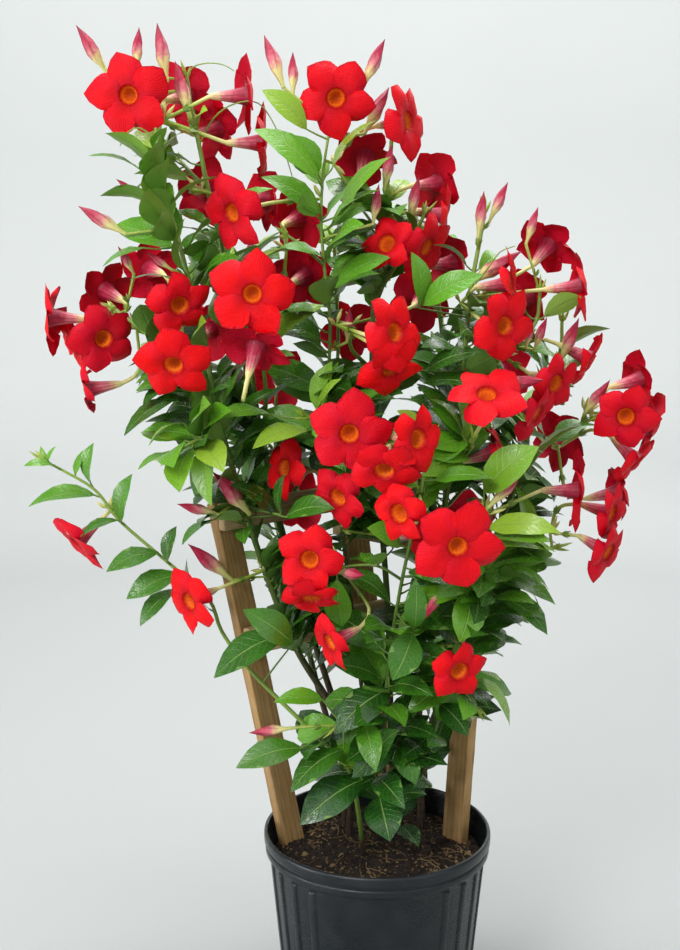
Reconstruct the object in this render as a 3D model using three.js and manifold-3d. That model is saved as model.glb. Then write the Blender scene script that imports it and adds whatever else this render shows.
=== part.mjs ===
// A red mandevilla in a ribbed nursery pot, trained on a wooden tripod trellis.
// Millimetres, +Z up. The origin is the centre of the pot's underside, and -Y is the plant's front.
import * as THREE from "three";
import { mergeVertices } from "three/addons/utils/BufferGeometryUtils.js";
import Module from "manifold-3d";

const wasm = await Module();
wasm.setup();

const RAD = Math.PI / 180;
const V = (x, y, z) => new THREE.Vector3(x, y, z);
const UP = V(0, 0, 1);

// ---------------------------------------------------------------- driving dimensions
const CLEAR = 0.3; // gap between touching pieces
const POT = {
  sides: 24, height: 240, rim: 140, rimDrop: 14, groove: 137, grooveDrop: 3, band: 138.5, bandDrop: 9,
  bodyTop: 212, top: 132, base: 112, wall: 2.6, floor: 3,
  ribLift: 2, ribHalf: 2.4, ribSlope: 1, panel: 37, ribPitch: 13.25,
  groin: 6, lip: 5, drains: 6, drainHalf: 9, drainHeight: 16, drainDepth: 40, drainTurn: 38,
};
const SOIL = { top: 210, swell: 3.5, rings: [112, 60], sides: 20 };
const LATH = { width: 32, thick: 14, footZ: 160, headZ: 650, barThick: 12 };
const STEM = { sides: 3, footDepth: 60, foot: 4.8, tip: 2.2, branch: 2.8, branchTip: 2.1, bareFoot: 70 };
const SEAT = { half: 1.5, apart: 4, shared: 10, around: 1.2 }; // where growths leave a stem
const LEAF = {
  petiole: 11, petioleHalf: 1, root: 0.6, rib: 1.6, arch: 0.5, pitch: 110,
  broad: [[0.2, 0.76], [0.5, 1], [0.82, 0.6]], slim: [[0.28, 0.94], [0.7, 0.84]], broadFrom: 14,
  // What is tried in turn until a leaf is clear: for a lone leaf its shift in depth and its roll, and for
  // a leaf of a pair its swing round the stem, its scale and its lift along the stem.
  loneShifts: [
    [0, 0], [-8, 0], [8, 0], [0, 30], [0, -30], [-16, 0], [16, 0], [-24, 20], [24, -20], [-34, 0], [34, 0],
  ],
  pairShifts: [
    [0, 1, 0], [22, 1, 0], [-22, 1, 0], [40, 0.95, 0.2], [-40, 0.95, 0.2], [60, 0.9, 0], [-60, 0.9, 0],
    [0, 0.8, 0.7], [80, 0.8, 0.3], [-80, 0.8, 0.3], [0, 0.65, -0.4], [30, 0.6, 0.9], [-30, 0.6, 0.9],
  ],
};
const BLOOM = {
  straight: 0.75,
  lobes: 5, mouth: 11.5, throat: 24, petal: 1.3, neckRadius: 4, neck: 42, tube: 26,
  corners: [[9, 0.78, 3], [29, 1, -1], [61, 0.84, -5]], heart: [36, 0.55, 1.5],
};
const STALK = { tube: 2.4, end: 1.6, run: 20, hub: 0.35, step: 0.25 };
const BUD = {
  sides: 4, belly: 0.12, bellyAt: 0.5, neck: 1.9, stalk: 1.3, back: 14,
  shifts: [0, -8, 8, -16, 16, -26, 26, -38, 38],
};

// ---------------------------------------------------------------- layout sheet
// Places are laid out as they line up from an eye in front of the plant: by the column and the row of
// an upright sheet, and by their own distance in mm behind (+) or before (-) the pot's axis.
const EYE = V(-46, -1515, 946);
const SHEET = { column: 340, row: 475, away: 1300, pitch: 9.9 * RAD };
const SIGHT = V(0, Math.cos(SHEET.pitch), -Math.sin(SHEET.pitch));
const RISE = V(0, Math.sin(SHEET.pitch), Math.cos(SHEET.pitch));

function at([column, row, y]) {
  const ray = SIGHT.clone().multiplyScalar(SHEET.away).addScaledVector(RISE, SHEET.row - row);
  ray.x += column - SHEET.column;
  return EYE.clone().addScaledVector(ray, (y - EYE.y) / ray.y);
}

// A unit vector from a heading (0 to the front, 90 to the right) and a rise above the level.
function heading(azimuth, rise) {
  const level = Math.cos(rise * RAD);
  return V(Math.sin(azimuth * RAD) * level, -Math.cos(azimuth * RAD) * level, Math.sin(rise * RAD));
}

// ---------------------------------------------------------------- the plant's layout
// Each leafy stem enters the soil at its foot (x, y in mm). A shoot is a path of sheet places.
// leafy is the stretch that bears leaves, as shares of the path, and size is a grown leaf's length.
const STEMS = {
  left: {
    foot: [-34, 34],
    shoots: [
      {
        path: [
          [352, 742, 12], [328, 700, 5], [297, 650, 0], [272, 590, 0], [248, 520, -12],
          [230, 460, -30], [214, 400, -40], [203, 330, -40], [189, 282, -35], [177, 235, -28],
          [163, 190, -22], [157, 140, -18], [154, 100, -15],
        ],
        leafy: [0.5, 1], size: 74,
      },
      {
        path: [[214, 400, -40], [184, 372, -45], [156, 342, -30], [132, 322, -20], [116, 310, -12]],
        leafy: [0.3, 1], size: 62,
      },
      { path: [[223, 430, -36], [198, 440, -70], [172, 452, -78]], leafy: [0.4, 1], size: 72 },
    ],
  },
  top_left: {
    foot: [-40, 66],
    shoots: [
      {
        path: [
          [348, 750, 62], [330, 690, 66], [304, 610, 66], [282, 530, 60], [262, 450, 50],
          [246, 370, 44], [232, 300, 38], [220, 240, 32], [208, 190, 28], [199, 145, 24],
          [191, 108, 18], [187, 78, 15],
        ],
        leafy: [0.5, 0.97], size: 72,
      },
      {
        path: [[262, 450, 50], [266, 400, 0], [264, 372, -40], [262, 345, -60]],
        leafy: [0.2, 1], size: 68,
      },
      { path: [[208, 190, 28], [190, 172, 60], [180, 160, 80]], leafy: [0.3, 1], size: 60 },
    ],
  },
  top_centre: {
    foot: [6, 50],
    shoots: [
      {
        path: [
          [372, 748, 40], [362, 690, 36], [352, 610, 22], [342, 530, 5], [334, 450, -10],
          [329, 380, -18], [330, 320, -25], [324, 265, -28], [321, 215, -28], [324, 165, -26],
          [331, 122, -24],
        ],
        leafy: [0.55, 1], size: 72,
      },
      { path: [[324, 265, -28], [302, 246, -34], [288, 236, -42]], leafy: null },
      { path: [[334, 450, -10], [318, 425, -60], [306, 418, -78]], leafy: [0.3, 1], size: 66 },
    ],
  },
  top_right: {
    foot: [26, 74],
    shoots: [
      {
        path: [
          [392, 750, 66], [390, 690, 58], [388, 610, 54], [382, 530, 50], [375, 450, 50],
          [372, 370, 48], [374, 300, 44], [379, 245, 32], [386, 195, 24], [391, 150, 18],
          [392, 122, 15],
        ],
        leafy: [0.55, 0.97], size: 70,
      },
      {
        path: [[374, 300, 44], [394, 268, 24], [412, 240, 14], [424, 215, 14]],
        leafy: [0.2, 1], size: 58,
      },
      { path: [[372, 370, 48], [352, 350, 10], [350, 338, -10]], leafy: null },
    ],
  },
  right: {
    foot: [44, 44],
    shoots: [
      {
        path: [
          [408, 750, 38], [416, 690, 34], [428, 610, 24], [440, 540, 12], [450, 470, 0],
          [458, 400, -12], [466, 340, -18], [471, 290, -22], [479, 245, -20], [485, 212, -15],
        ],
        leafy: [0.5, 1], size: 74,
      },
      {
        path: [[458, 400, -12], [486, 368, -18], [514, 346, -14], [536, 322, 2], [540, 292, 10]],
        leafy: [0.2, 1], size: 64,
      },
      { path: [[450, 470, 0], [468, 452, -60], [474, 438, -84]], leafy: [0.3, 1], size: 70 },
    ],
  },
  outer_right: {
    foot: [60, 74],
    shoots: [
      {
        path: [
          [420, 760, 74], [440, 700, 82], [462, 630, 84], [484, 570, 78], [506, 510, 64],
          [532, 462, 46], [560, 434, 26], [590, 420, 12],
        ],
        leafy: [0.55, 1], size: 68,
      },
      {
        path: [[506, 510, 64], [524, 450, 66], [542, 396, 60], [560, 352, 48], [562, 322, 40]],
        leafy: [0.25, 1], size: 64,
      },
    ],
  },
  lower_right: {
    foot: [52, 6],
    shoots: [
      {
        path: [
          [424, 768, -10], [438, 716, -34], [454, 664, -50], [474, 614, -60], [500, 572, -60],
          [530, 552, -52], [554, 548, -45],
        ],
        leafy: [0.3, 1], size: 70,
      },
      { path: [[454, 664, -50], [466, 690, -74], [476, 706, -84]], leafy: [0.3, 1], size: 62 },
      { path: [[474, 614, -60], [478, 560, -90], [484, 514, -104]], leafy: [0.3, 1], size: 70 },
    ],
  },
  front_centre: {
    foot: [18, 4],
    shoots: [
      {
        path: [
          [384, 770, -34], [386, 700, -62], [392, 640, -84], [402, 580, -104], [414, 525, -116],
          [424, 475, -120], [430, 440, -116],
        ],
        leafy: [0.15, 1], size: 72,
      },
      {
        path: [[402, 580, -104], [378, 566, -104], [350, 566, -90], [326, 572, -80]],
        leafy: [0.3, 1], size: 60,
      },
      { path: [[386, 700, -62], [362, 712, -84], [336, 726, -96]], leafy: [0.2, 1], size: 72 },
      { path: [[384, 770, -34], [366, 776, -56], [350, 766, -74]], leafy: [0.3, 1], size: 74 },
    ],
  },
  spray: {
    foot: [-18, -12],
    shoots: [
      {
        path: [
          [352, 778, -34], [336, 755, -52], [300, 720, -60], [250, 670, -50], [222, 632, -40],
          [208, 598, -34], [165, 560, -32], [120, 521, -32], [95, 490, -32], [62, 470, -32],
          [46, 462, -32],
        ],
        leafy: null,
      },
    ],
  },
  back_left: {
    foot: [-56, 88],
    shoots: [
      {
        path: [
          [334, 750, 104], [316, 680, 124], [296, 600, 146], [276, 520, 158], [262, 440, 160],
          [252, 370, 152], [246, 310, 138], [240, 260, 120],
        ],
        leafy: [0.34, 1], size: 74,
      },
      {
        path: [[262, 440, 160], [224, 396, 148], [190, 356, 126], [164, 330, 104]],
        leafy: [0.2, 1], size: 66,
      },
      {
        path: [
          [276, 520, 158], [306, 470, 190], [330, 410, 204], [338, 350, 190], [336, 290, 164],
          [334, 240, 136],
        ],
        leafy: [0.15, 1], size: 74,
      },
    ],
  },
  back_right: {
    foot: [62, 100],
    shoots: [
      {
        path: [
          [416, 745, 128], [426, 670, 158], [434, 590, 178], [444, 510, 184], [448, 430, 176],
          [444, 360, 158], [438, 300, 134], [430, 250, 104],
        ],
        leafy: [0.32, 1], size: 74,
      },
      {
        path: [[444, 510, 184], [482, 468, 174], [520, 430, 150], [552, 400, 118]],
        leafy: [0.2, 1], size: 66,
      },
    ],
  },
};

// Flowers, by the spray that bears them. Each is its mouth's place, where it faces (heading and rise),
// and its reach from its mouth's middle to a petal's tip in mm.
const SPRAYS = {
  top_left_front: [[128, 95, -20, -8, -6, 47]],
  top_left_back: [[187, 97, 74, 150, 10, 42], [217, 130, 78, 140, 10, 38]],
  top_left_right: [[247, 96, 8, 104, 2, 44], [264, 143, 0, 92, 0, 42]],
  upper_left_front: [[231, 213, -64, -42, -12, 43]],
  upper_left_back: [[206, 192, 76, 165, 0, 40], [266, 200, 70, 125, 0, 36]],
  upper_middle_back: [[298, 218, 92, 155, 12, 40], [304, 276, 50, 160, 10, 38]],
  top_middle: [[336, 98, -36, 3, -8, 43]],
  top_right: [[409, 121, 0, 60, 5, 44], [365, 156, 44, 168, 42, 38]],
  upper_right_edge: [[437, 184, 62, 128, 5, 42], [447, 216, 22, 84, -8, 38], [452, 264, 62, 122, 0, 38]],
  upper_right_front: [[428, 248, -26, 52, -20, 40], [386, 243, -40, -30, 20, 32]],
  middle_left_front: [[252, 294, -128, 0, -5, 46], [256, 346, -96, 165, 48, 40]],
  left_pair: [[180, 306, -92, 22, -20, 36], [173, 366, -118, -5, -25, 42]],
  left_near: [[104, 339, -34, 28, -6, 40], [106, 291, 60, -140, 15, 38]],
  left_far: [[50, 317, 0, -88, 4, 42], [74, 347, 24, -62, -25, 38], [86, 390, -4, -84, -10, 30]],
  middle_right_front: [[396, 332, -142, 44, 8, 43], [392, 370, -140, 30, -34, 38]],
  right_upper_front: [[506, 326, -104, 34, -6, 40], [512, 284, -44, 72, 6, 40]],
  right_upper_edge: [[529, 298, 64, 122, 6, 36], [548, 245, 58, 142, 34, 38], [581, 287, 0, 88, 4, 40]],
  right_edge: [[590, 360, 24, 72, -25, 36], [557, 384, -52, 40, -12, 36], [538, 414, -84, 60, -24, 34]],
  right_upward: [[487, 393, -134, 0, 52, 42], [500, 450, -36, 80, 20, 34]],
  far_right_front: [[626, 417, -34, -10, -5, 38]],
  far_right_back: [[640, 380, 44, 108, 10, 36], [652, 424, 46, 92, -18, 40]],
  far_right_low: [[637, 462, -6, 58, -40, 34], [620, 492, 18, 96, 10, 34]],
  lower_right_side: [[579, 491, -66, 84, 0, 46]],
  lower_right: [[613, 514, -50, 56, -10, 34], [609, 553, -64, 50, -20, 36]],
  centre_left: [[349, 434, -152, -5, -5, 45]],
  centre_right: [[384, 472, -178, -10, -32, 38], [419, 439, -172, 40, 4, 36]],
  centre_low: [[398, 514, -186, -38, -5, 32], [337, 498, -110, -38, -15, 36]],
  front_large: [[458, 547, -204, 5, -5, 48]],
  lower_left_cluster: [
    [309, 560, -132, -14, 0, 38],
    [311, 600, -120, 0, -50, 34],
    [329, 643, -116, -58, -15, 34],
  ],
  lower_left_outer: [[188, 602, -64, -46, -10, 40]],
  spray_end: [[76, 543, -34, -60, -38, 40]],
  lower_front: [[460, 672, -138, 20, -10, 34]],
  centre_shaded: [[427, 534, -70, 60, 10, 32]],
  centre_left_shaded: [[283, 468, -44, -50, 10, 36]],
  back_left_edge: [[210, 330, 216, 170, 8, 42], [150, 270, 150, -150, 5, 40]],
  back_left: [[280, 380, 246, 178, 4, 44], [300, 500, 256, -170, -6, 42]],
  back_upper: [[350, 330, 258, 182, 6, 42], [420, 300, 226, 165, 8, 42]],
  back_right: [[500, 370, 236, 170, 0, 44], [560, 440, 196, 140, -5, 40]],
  back_low: [[466, 520, 256, 168, -8, 42]],
};

// Buds: the tip's place, the place where its tube begins, and the share of the sheet width is its belly.
const BUDS = [
  [[76, 25, 20], [108, 74, 34]], [[139, 27, -10], [136, 72, -14]], [[157, 23, 10], [167, 82, 4]],
  [[175, 61, 20], [190, 118, 20]], [[264, 35, 0], [284, 88, -14]], [[293, 52, -20], [293, 96, -24]],
  [[116, 179, -40], [140, 197, -34]], [[78, 206, -30], [126, 234, -30]],
  [[147, 253, -50], [172, 270, -42]], [[385, 39, -10], [362, 88, -16]],
  [[362, 61, -40], [354, 96, -34]], [[389, 87, 20], [364, 134, 0]], [[392, 144, -30], [384, 190, -14]],
  [[379, 184, -50], [373, 224, -36]], [[419, 176, -10], [409, 222, 2]],
  [[508, 182, -10], [489, 222, -14]], [[484, 191, -40], [478, 238, -34]],
  [[538, 207, 20], [526, 244, 16]], [[522, 251, -50], [468, 284, -34]],
  [[547, 317, -50], [534, 350, -34]], [[531, 318, -70], [526, 348, -44]],
  [[579, 318, 10], [560, 362, 36]], [[544, 380, -110], [496, 384, -70]],
  [[610, 380, -20], [584, 414, 2]], [[350, 308, -50], [347, 342, -30]],
  [[177, 504, -80], [218, 514, -62]], [[213, 472, -80], [250, 514, -40]],
  [[188, 544, -50], [232, 580, -30]], [[364, 575, -150], [338, 572, -106]],
  [[426, 618, -150], [440, 590, -112]], [[524, 469, -110], [488, 508, -112]],
  [[249, 733, -110], [292, 728, -104]], [[118, 246, -60], [134, 274, -44]],
  [[320, 250, 190], [330, 290, 172]], [[250, 240, 150], [244, 280, 136]],
  [[560, 380, 130], [544, 412, 124]],
];

// Leaves that stand out from the rule's: base, tip, and half the blade's width in mm.
const LONE_LEAVES = [
  [[95, 496, -30], [28, 506, -50], 11], [[92, 484, -30], [93, 443, -40], 7],
  [[76, 476, -32], [89, 447, -20], 4], [[122, 523, -32], [131, 474, -44], 9],
  [[118, 521, -34], [80, 536, -58], 10], [[158, 553, -34], [106, 570, -58], 13],
  [[168, 562, -32], [176, 526, -20], 6], [[180, 575, -34], [127, 600, -56], 11],
  [[176, 590, -36], [140, 626, -50], 9], [[54, 466, -32], [24, 466, -44], 4],
  [[50, 464, -32], [40, 446, -28], 3], [[48, 462, -32], [57, 446, -24], 3],
  [[216, 520, -60], [182, 545, -84], 11], [[214, 612, -40], [184, 560, -60], 13],
  [[276, 516, -50], [231, 484, -74], 14], [[282, 514, -78], [285, 474, -96], 13],
  [[286, 518, -76], [334, 508, -104], 14], [[290, 634, -70], [214, 678, -92], 19],
  [[292, 644, -66], [242, 610, -88], 16], [[302, 748, -110], [236, 768, -134], 15],
  [[322, 700, -100], [274, 702, -124], 8], [[412, 634, -120], [393, 680, -150], 18],
  [[414, 628, -116], [416, 580, -132], 9], [[470, 592, -100], [460, 642, -130], 19],
  [[492, 580, -70], [556, 603, -84], 15], [[496, 596, -66], [548, 634, -76], 14],
  [[480, 678, -90], [512, 726, -100], 14], [[440, 704, -70], [468, 736, -92], 16],
  [[390, 690, -90], [334, 732, -128], 21], [[390, 740, -60], [352, 778, -110], 17],
  [[398, 748, -56], [416, 784, -90], 14], [[362, 780, -80], [300, 826, -124], 21],
  [[380, 796, -66], [390, 842, -112], 21], [[398, 798, -54], [426, 794, -80], 10],
  [[344, 750, -90], [290, 790, -126], 17], [[150, 166, -34], [106, 132, -52], 14],
  [[146, 176, -34], [88, 156, -50], 11], [[158, 208, -34], [100, 195, -56], 11],
  [[160, 165, -30], [186, 128, -48], 12], [[170, 210, -36], [222, 178, -60], 15],
  [[184, 270, -44], [184, 218, -68], 15], [[156, 250, -44], [102, 264, -60], 10],
  [[184, 286, -44], [130, 277, -66], 15], [[196, 300, -46], [216, 258, -70], 13],
  [[306, 130, -30], [262, 90, -44], 14], [[318, 174, -32], [288, 134, -50], 16],
  [[318, 180, -32], [256, 127, -44], 8], [[320, 214, -34], [262, 176, -52], 9],
  [[332, 170, -32], [378, 120, -48], 11], [[342, 214, -34], [388, 155, -56], 16],
  [[322, 258, -34], [280, 246, -50], 12], [[336, 288, -32], [390, 256, -50], 12],
  [[326, 316, -32], [280, 314, -54], 14], [[424, 306, -60], [482, 274, -80], 15],
  [[418, 308, -56], [410, 252, -70], 8], [[468, 430, -90], [472, 386, -112], 9],
  [[474, 436, -90], [520, 402, -112], 18], [[464, 440, -86], [430, 408, -104], 12],
  [[484, 492, -108], [538, 446, -128], 21], [[478, 500, -108], [418, 480, -122], 15],
  [[488, 528, -112], [560, 530, -132], 17], [[486, 546, -106], [556, 552, -124], 15],
  [[538, 450, 20], [600, 424, -4], 12], [[188, 398, -60], [124, 436, -84], 15],
  [[184, 424, -80], [148, 446, -104], 11], [[210, 440, -84], [211, 506, -118], 18],
  [[178, 454, -90], [138, 470, -110], 11], [[272, 416, -70], [218, 419, -100], 18],
  [[426, 372, -70], [482, 352, -88], 15], [[424, 384, -66], [480, 388, -84], 14],
  [[560, 350, 34], [610, 328, 30], 9],
];

// ---------------------------------------------------------------- solids
function solidFrom(points, faces) {
  const places = new Float32Array(points.flatMap((p) => [p.x, p.y, p.z]));
  const made = (list) => {
    const triVerts = new Uint32Array(list.flat());
    return new wasm.Manifold(new wasm.Mesh({ numProp: 3, vertProperties: places, triVerts }));
  };
  const solid = made(faces);
  return solid.volume() > 0 ? solid : made(faces.map(([a, b, c]) => [a, c, b]));
}

// Rings of one count joined into a closed skin. A ring of one point makes a tip. Neighbouring quads
// are split the opposite way, so that a blade's two faces are split alike.
function loft(rings) {
  const faces = [];
  const start = [0];
  rings.forEach((ring) => start.push(start[start.length - 1] + ring.length));
  for (let i = 0; i + 1 < rings.length; i++) {
    const [a, b, m, n] = [start[i], start[i + 1], rings[i].length, rings[i + 1].length];
    for (let j = 0; j < Math.max(m, n); j++) {
      const k = (j + 1) % Math.max(m, n);
      if (n === 1) faces.push([a + j, a + k, b]);
      else if (m === 1) faces.push([a, b + k, b + j]);
      else if (j % 2) faces.push([a + j, a + k, b + j], [a + k, b + k, b + j]);
      else faces.push([a + j, a + k, b + k], [a + j, b + k, b + j]);
    }
  }
  const last = start[rings.length - 1];
  for (let j = 1; j + 1 < rings[0].length; j++) faces.push([0, j + 1, j]);
  for (let j = 1; j + 1 < rings[rings.length - 1].length; j++) faces.push([last, last + j, last + j + 1]);
  return solidFrom(rings.flat(), faces);
}

// Square frames along a path that turn as little as they can.
function framesAlong(path) {
  let wide = V(0.31, 0.87, 0.38);
  return path.map((p, i) => {
    const next = path[Math.min(i + 1, path.length - 1)];
    const tangent = next.clone().sub(path[Math.max(i - 1, 0)]).normalize();
    wide = wide.clone().addScaledVector(tangent, -wide.dot(tangent)).normalize();
    return { wide, high: tangent.clone().cross(wide) };
  });
}

function tubeRings(path, radii, sides) {
  const frames = framesAlong(path);
  return path.map((p, i) => {
    if (radii[i] === 0) return [p.clone()];
    return Array.from({ length: sides }, (_, j) => {
      const turn = (j / sides) * 2 * Math.PI;
      const place = p.clone().addScaledVector(frames[i].wide, Math.cos(turn) * radii[i]);
      return place.addScaledVector(frames[i].high, Math.sin(turn) * radii[i]);
    });
  });
}

const tube = (path, radii, sides) => loft(tubeRings(path, radii, sides));
const grown = (radii, grow) => radii.map((r) => (r === 0 ? 0 : r + grow));

function solidOf(geometry, matrix = new THREE.Matrix4()) {
  const bare = geometry.clone().applyMatrix4(matrix);
  bare.deleteAttribute("normal");
  bare.deleteAttribute("uv");
  const merged = mergeVertices(bare);
  return new wasm.Manifold(
    new wasm.Mesh({
      numProp: 3,
      vertProperties: merged.attributes.position.array,
      triVerts: new Uint32Array(merged.index.array),
    }),
  );
}

function geometryOf(solid) {
  const mesh = solid.getMesh();
  const geometry = new THREE.BufferGeometry();
  geometry.setAttribute("position", new THREE.BufferAttribute(mesh.vertProperties, 3));
  geometry.setIndex(new THREE.BufferAttribute(mesh.triVerts, 1));
  geometry.computeVertexNormals();
  return geometry;
}

// The largest body of a solid, without the scraps that a cut leaves.
function mainBody(solid) {
  return solid.decompose().reduce((a, b) => (b.volume() > a.volume() ? b : a));
}

// ---------------------------------------------------------------- lines
function spot(line, distance) {
  let left = distance;
  let i = 0;
  while (i + 2 < line.length && left > line[i].distanceTo(line[i + 1])) {
    left -= line[i].distanceTo(line[i + 1]);
    i += 1;
  }
  const tangent = line[i + 1].clone().sub(line[i]);
  const length = tangent.length();
  tangent.divideScalar(length);
  return { point: line[i].clone().addScaledVector(tangent, Math.min(left, length)), tangent };
}

const lengthOf = (line) => line.slice(1).reduce((sum, p, i) => sum + p.distanceTo(line[i]), 0);

function nearestOn(line, target) {
  let best = { gap: Infinity };
  let before = 0;
  for (let i = 0; i + 1 < line.length; i++) {
    const step = line[i + 1].clone().sub(line[i]);
    const share = THREE.MathUtils.clamp(target.clone().sub(line[i]).dot(step) / step.lengthSq(), 0, 1);
    const gap = line[i].clone().addScaledVector(step, share).distanceTo(target);
    if (gap < best.gap) best = { gap, distance: before + share * step.length() };
    before += step.length();
  }
  return best;
}

// A seeded draw from 0 to 1 for the k-th choice of the i-th thing.
function draw(i, k) {
  const wave = Math.sin(i * 12.9898 + k * 78.233) * 43758.5453;
  return wave - Math.floor(wave);
}

// ---------------------------------------------------------------- what has been placed
const placed = [];

function boxesMeet(a, b) {
  return [0, 1, 2].every((i) => a.min[i] <= b.max[i] && b.min[i] <= a.max[i]);
}

// Notes a solid as placed. A shell makes the same solid grown by CLEAR, for what has to give way to it.
function place(node, solid, shell = null) {
  placed.push({ node, solid, shell, box: solid.boundingBox() });
}

// Whether a solid is clear of all that is placed, or of all that is placed in other nodes.
function isClear(solid, node, othersOnly) {
  const box = solid.boundingBox();
  return placed.every((other) => {
    if ((othersOnly && other.node === node) || !boxesMeet(box, other.box)) return true;
    const shared = solid.intersect(other.solid);
    const none = shared.isEmpty();
    shared.delete();
    return none;
  });
}

// Lets a shoot bear the first variant whose blade is clear of everything and whose stalk is clear of
// other nodes. A growth with no such variant is left out.
function settle(variants) {
  const variant = variants.find(({ shoot, blade, stalk }) => {
    return isClear(blade(), shoot.node, false) && isClear(stalk(), shoot.node, true);
  });
  if (!variant) return;
  place(variant.shoot.node, variant.solid());
  variant.shoot.growths.push({ distance: variant.distance, rings: variant.rings });
}

// ---------------------------------------------------------------- pot and soil
const insidePot = (z) => POT.base + ((POT.top - POT.base) * z) / POT.bodyTop - POT.wall;

function ringAt(radius, z, sides) {
  return Array.from({ length: sides }, (_, i) => {
    const turn = (i / sides) * 2 * Math.PI;
    return V(Math.cos(turn) * radius, Math.sin(turn) * radius, z);
  });
}

function lathe(profile, sides) {
  const outline = profile.map(([r, z]) => new THREE.Vector2(r, z));
  return solidOf(new THREE.LatheGeometry(outline, sides).rotateX(Math.PI / 2));
}

// The ribbed wall's outline: a smooth panel at the front and the back, and upright ribs on the sides.
function ribbedOutline(radius) {
  const marks = [];
  for (const middle of [0, 180]) {
    for (let turn = -90 + POT.panel; turn <= 90 - POT.panel; turn += POT.ribPitch) {
      const at = middle + turn;
      marks.push([at - POT.ribHalf - POT.ribSlope, 0], [at - POT.ribHalf, POT.ribLift]);
      marks.push([at + POT.ribHalf, POT.ribLift], [at + POT.ribHalf + POT.ribSlope, 0]);
    }
    for (let turn = 90 - POT.panel + POT.ribPitch; turn < 90 + POT.panel; turn += POT.ribPitch) {
      marks.push([middle + turn, 0]);
    }
  }
  return marks
    .map(([degrees, lift]) => [((degrees + 360) % 360) * RAD, radius + lift])
    .sort((a, b) => a[0] - b[0])
    .map(([turn, r]) => new THREE.Vector2(Math.cos(turn) * r, Math.sin(turn) * r));
}

function potSolid() {
  const low = ribbedOutline(POT.base).map((p) => V(p.x, p.y, 0));
  const high = ribbedOutline(POT.top).map((p) => V(p.x, p.y, POT.bodyTop));
  const rimLow = POT.height - POT.rimDrop;
  const grooveLow = rimLow - POT.grooveDrop;
  const bandLow = grooveLow - POT.bandDrop;
  const rim = lathe(
    [
      [0, bandLow - POT.groin], [POT.top - 1, bandLow - POT.groin], [POT.band - 1, bandLow],
      [POT.band, grooveLow - 1], [POT.groove, grooveLow], [POT.groove, rimLow],
      [POT.rim, rimLow + 2], [POT.rim, POT.height - 3], [POT.rim - 2, POT.height], [0, POT.height],
    ],
    POT.sides,
  );
  const hollow = lathe(
    [
      [0, POT.floor], [insidePot(POT.floor), POT.floor], [insidePot(POT.bodyTop), POT.bodyTop],
      [POT.rim - POT.lip, POT.height - 8], [POT.rim - POT.lip, POT.height + 5], [0, POT.height + 5],
    ],
    POT.sides,
  );
  let pot = loft([low, high]).add(rim).subtract(hollow);
  for (let i = 0; i < POT.drains; i++) {
    const slot = new THREE.BoxGeometry(POT.drainDepth, 2 * POT.drainHalf, POT.drainHeight);
    const turn = new THREE.Matrix4().makeRotationZ((POT.drainTurn + (i * 360) / POT.drains) * RAD);
    pot = pot.subtract(solidOf(slot.translate(POT.base, 0, POT.floor + POT.drainHeight / 2), turn));
  }
  return pot;
}

// The potting soil: a cone of soil with a slightly uneven top, CLEAR of the pot all round.
function soilSolid() {
  const side = (z) => insidePot(z) * Math.cos(Math.PI / POT.sides) - CLEAR;
  const rings = [POT.floor + CLEAR, SOIL.top].map((z) => ringAt(side(z), z, SOIL.sides));
  SOIL.rings.forEach((radius, r) => {
    const lift = (i) => SOIL.swell * (0.4 + draw(i, r + 3));
    rings.push(ringAt(radius, SOIL.top, SOIL.sides).map((p, i) => p.setZ(p.z + lift(i))));
  });
  rings.push([V(0, 0, SOIL.top + SOIL.swell)]);
  return loft(rings);
}

// ---------------------------------------------------------------- trellis
const STAKES = {
  left: { foot: V(-107, 24, SOIL.top), head: V(-187, 5, 640), face: V(0.72, -0.69, 0) },
  right: { foot: V(99, 24, SOIL.top), head: V(121, 8, 640), face: V(-0.72, -0.69, 0) },
  back: { foot: V(24.6, 100, SOIL.top), head: V(-33, 150, 640), face: V(0, -1, 0) },
};
const BARS = { left: { upper: 632, lower: 478 }, right: { upper: 596, lower: 442 } };
const BAR_OVERHANG = 14;

for (const stake of Object.values(STAKES)) {
  const rise = stake.head.clone().sub(stake.foot);
  stake.axis = rise.clone().normalize();
  stake.face = stake.face.clone().addScaledVector(stake.axis, -stake.face.dot(stake.axis)).normalize();
  stake.side = stake.axis.clone().cross(stake.face);
  stake.pointAt = (z) => stake.foot.clone().addScaledVector(rise, (z - stake.foot.z) / rise.z);
}

// How far a stake reaches from its axis along a direction, over a bar's height.
function reach(stake, direction) {
  return (
    (LATH.width / 2) * Math.abs(stake.side.dot(direction)) +
    (LATH.thick / 2) * Math.abs(stake.face.dot(direction)) +
    (LATH.width / 2) * Math.abs(stake.axis.dot(direction))
  );
}

// A sawn lath from one point to another, its broad side facing along a direction.
function lathMesh(name, from, to, face, thick, colour) {
  const long = to.clone().sub(from);
  const axis = long.clone().normalize();
  const out = face.clone().addScaledVector(axis, -face.dot(axis)).normalize();
  const mesh = new THREE.Mesh(new THREE.BoxGeometry(LATH.width, thick, long.length()), wood(colour));
  mesh.name = name;
  mesh.quaternion.setFromRotationMatrix(new THREE.Matrix4().makeBasis(out.clone().cross(axis), out, axis));
  mesh.position.copy(from.clone().add(to).divideScalar(2));
  mesh.updateMatrixWorld();
  return mesh;
}

const wood = (colour) => new THREE.MeshStandardMaterial({ color: colour, roughness: 0.75, metalness: 0 });

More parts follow.
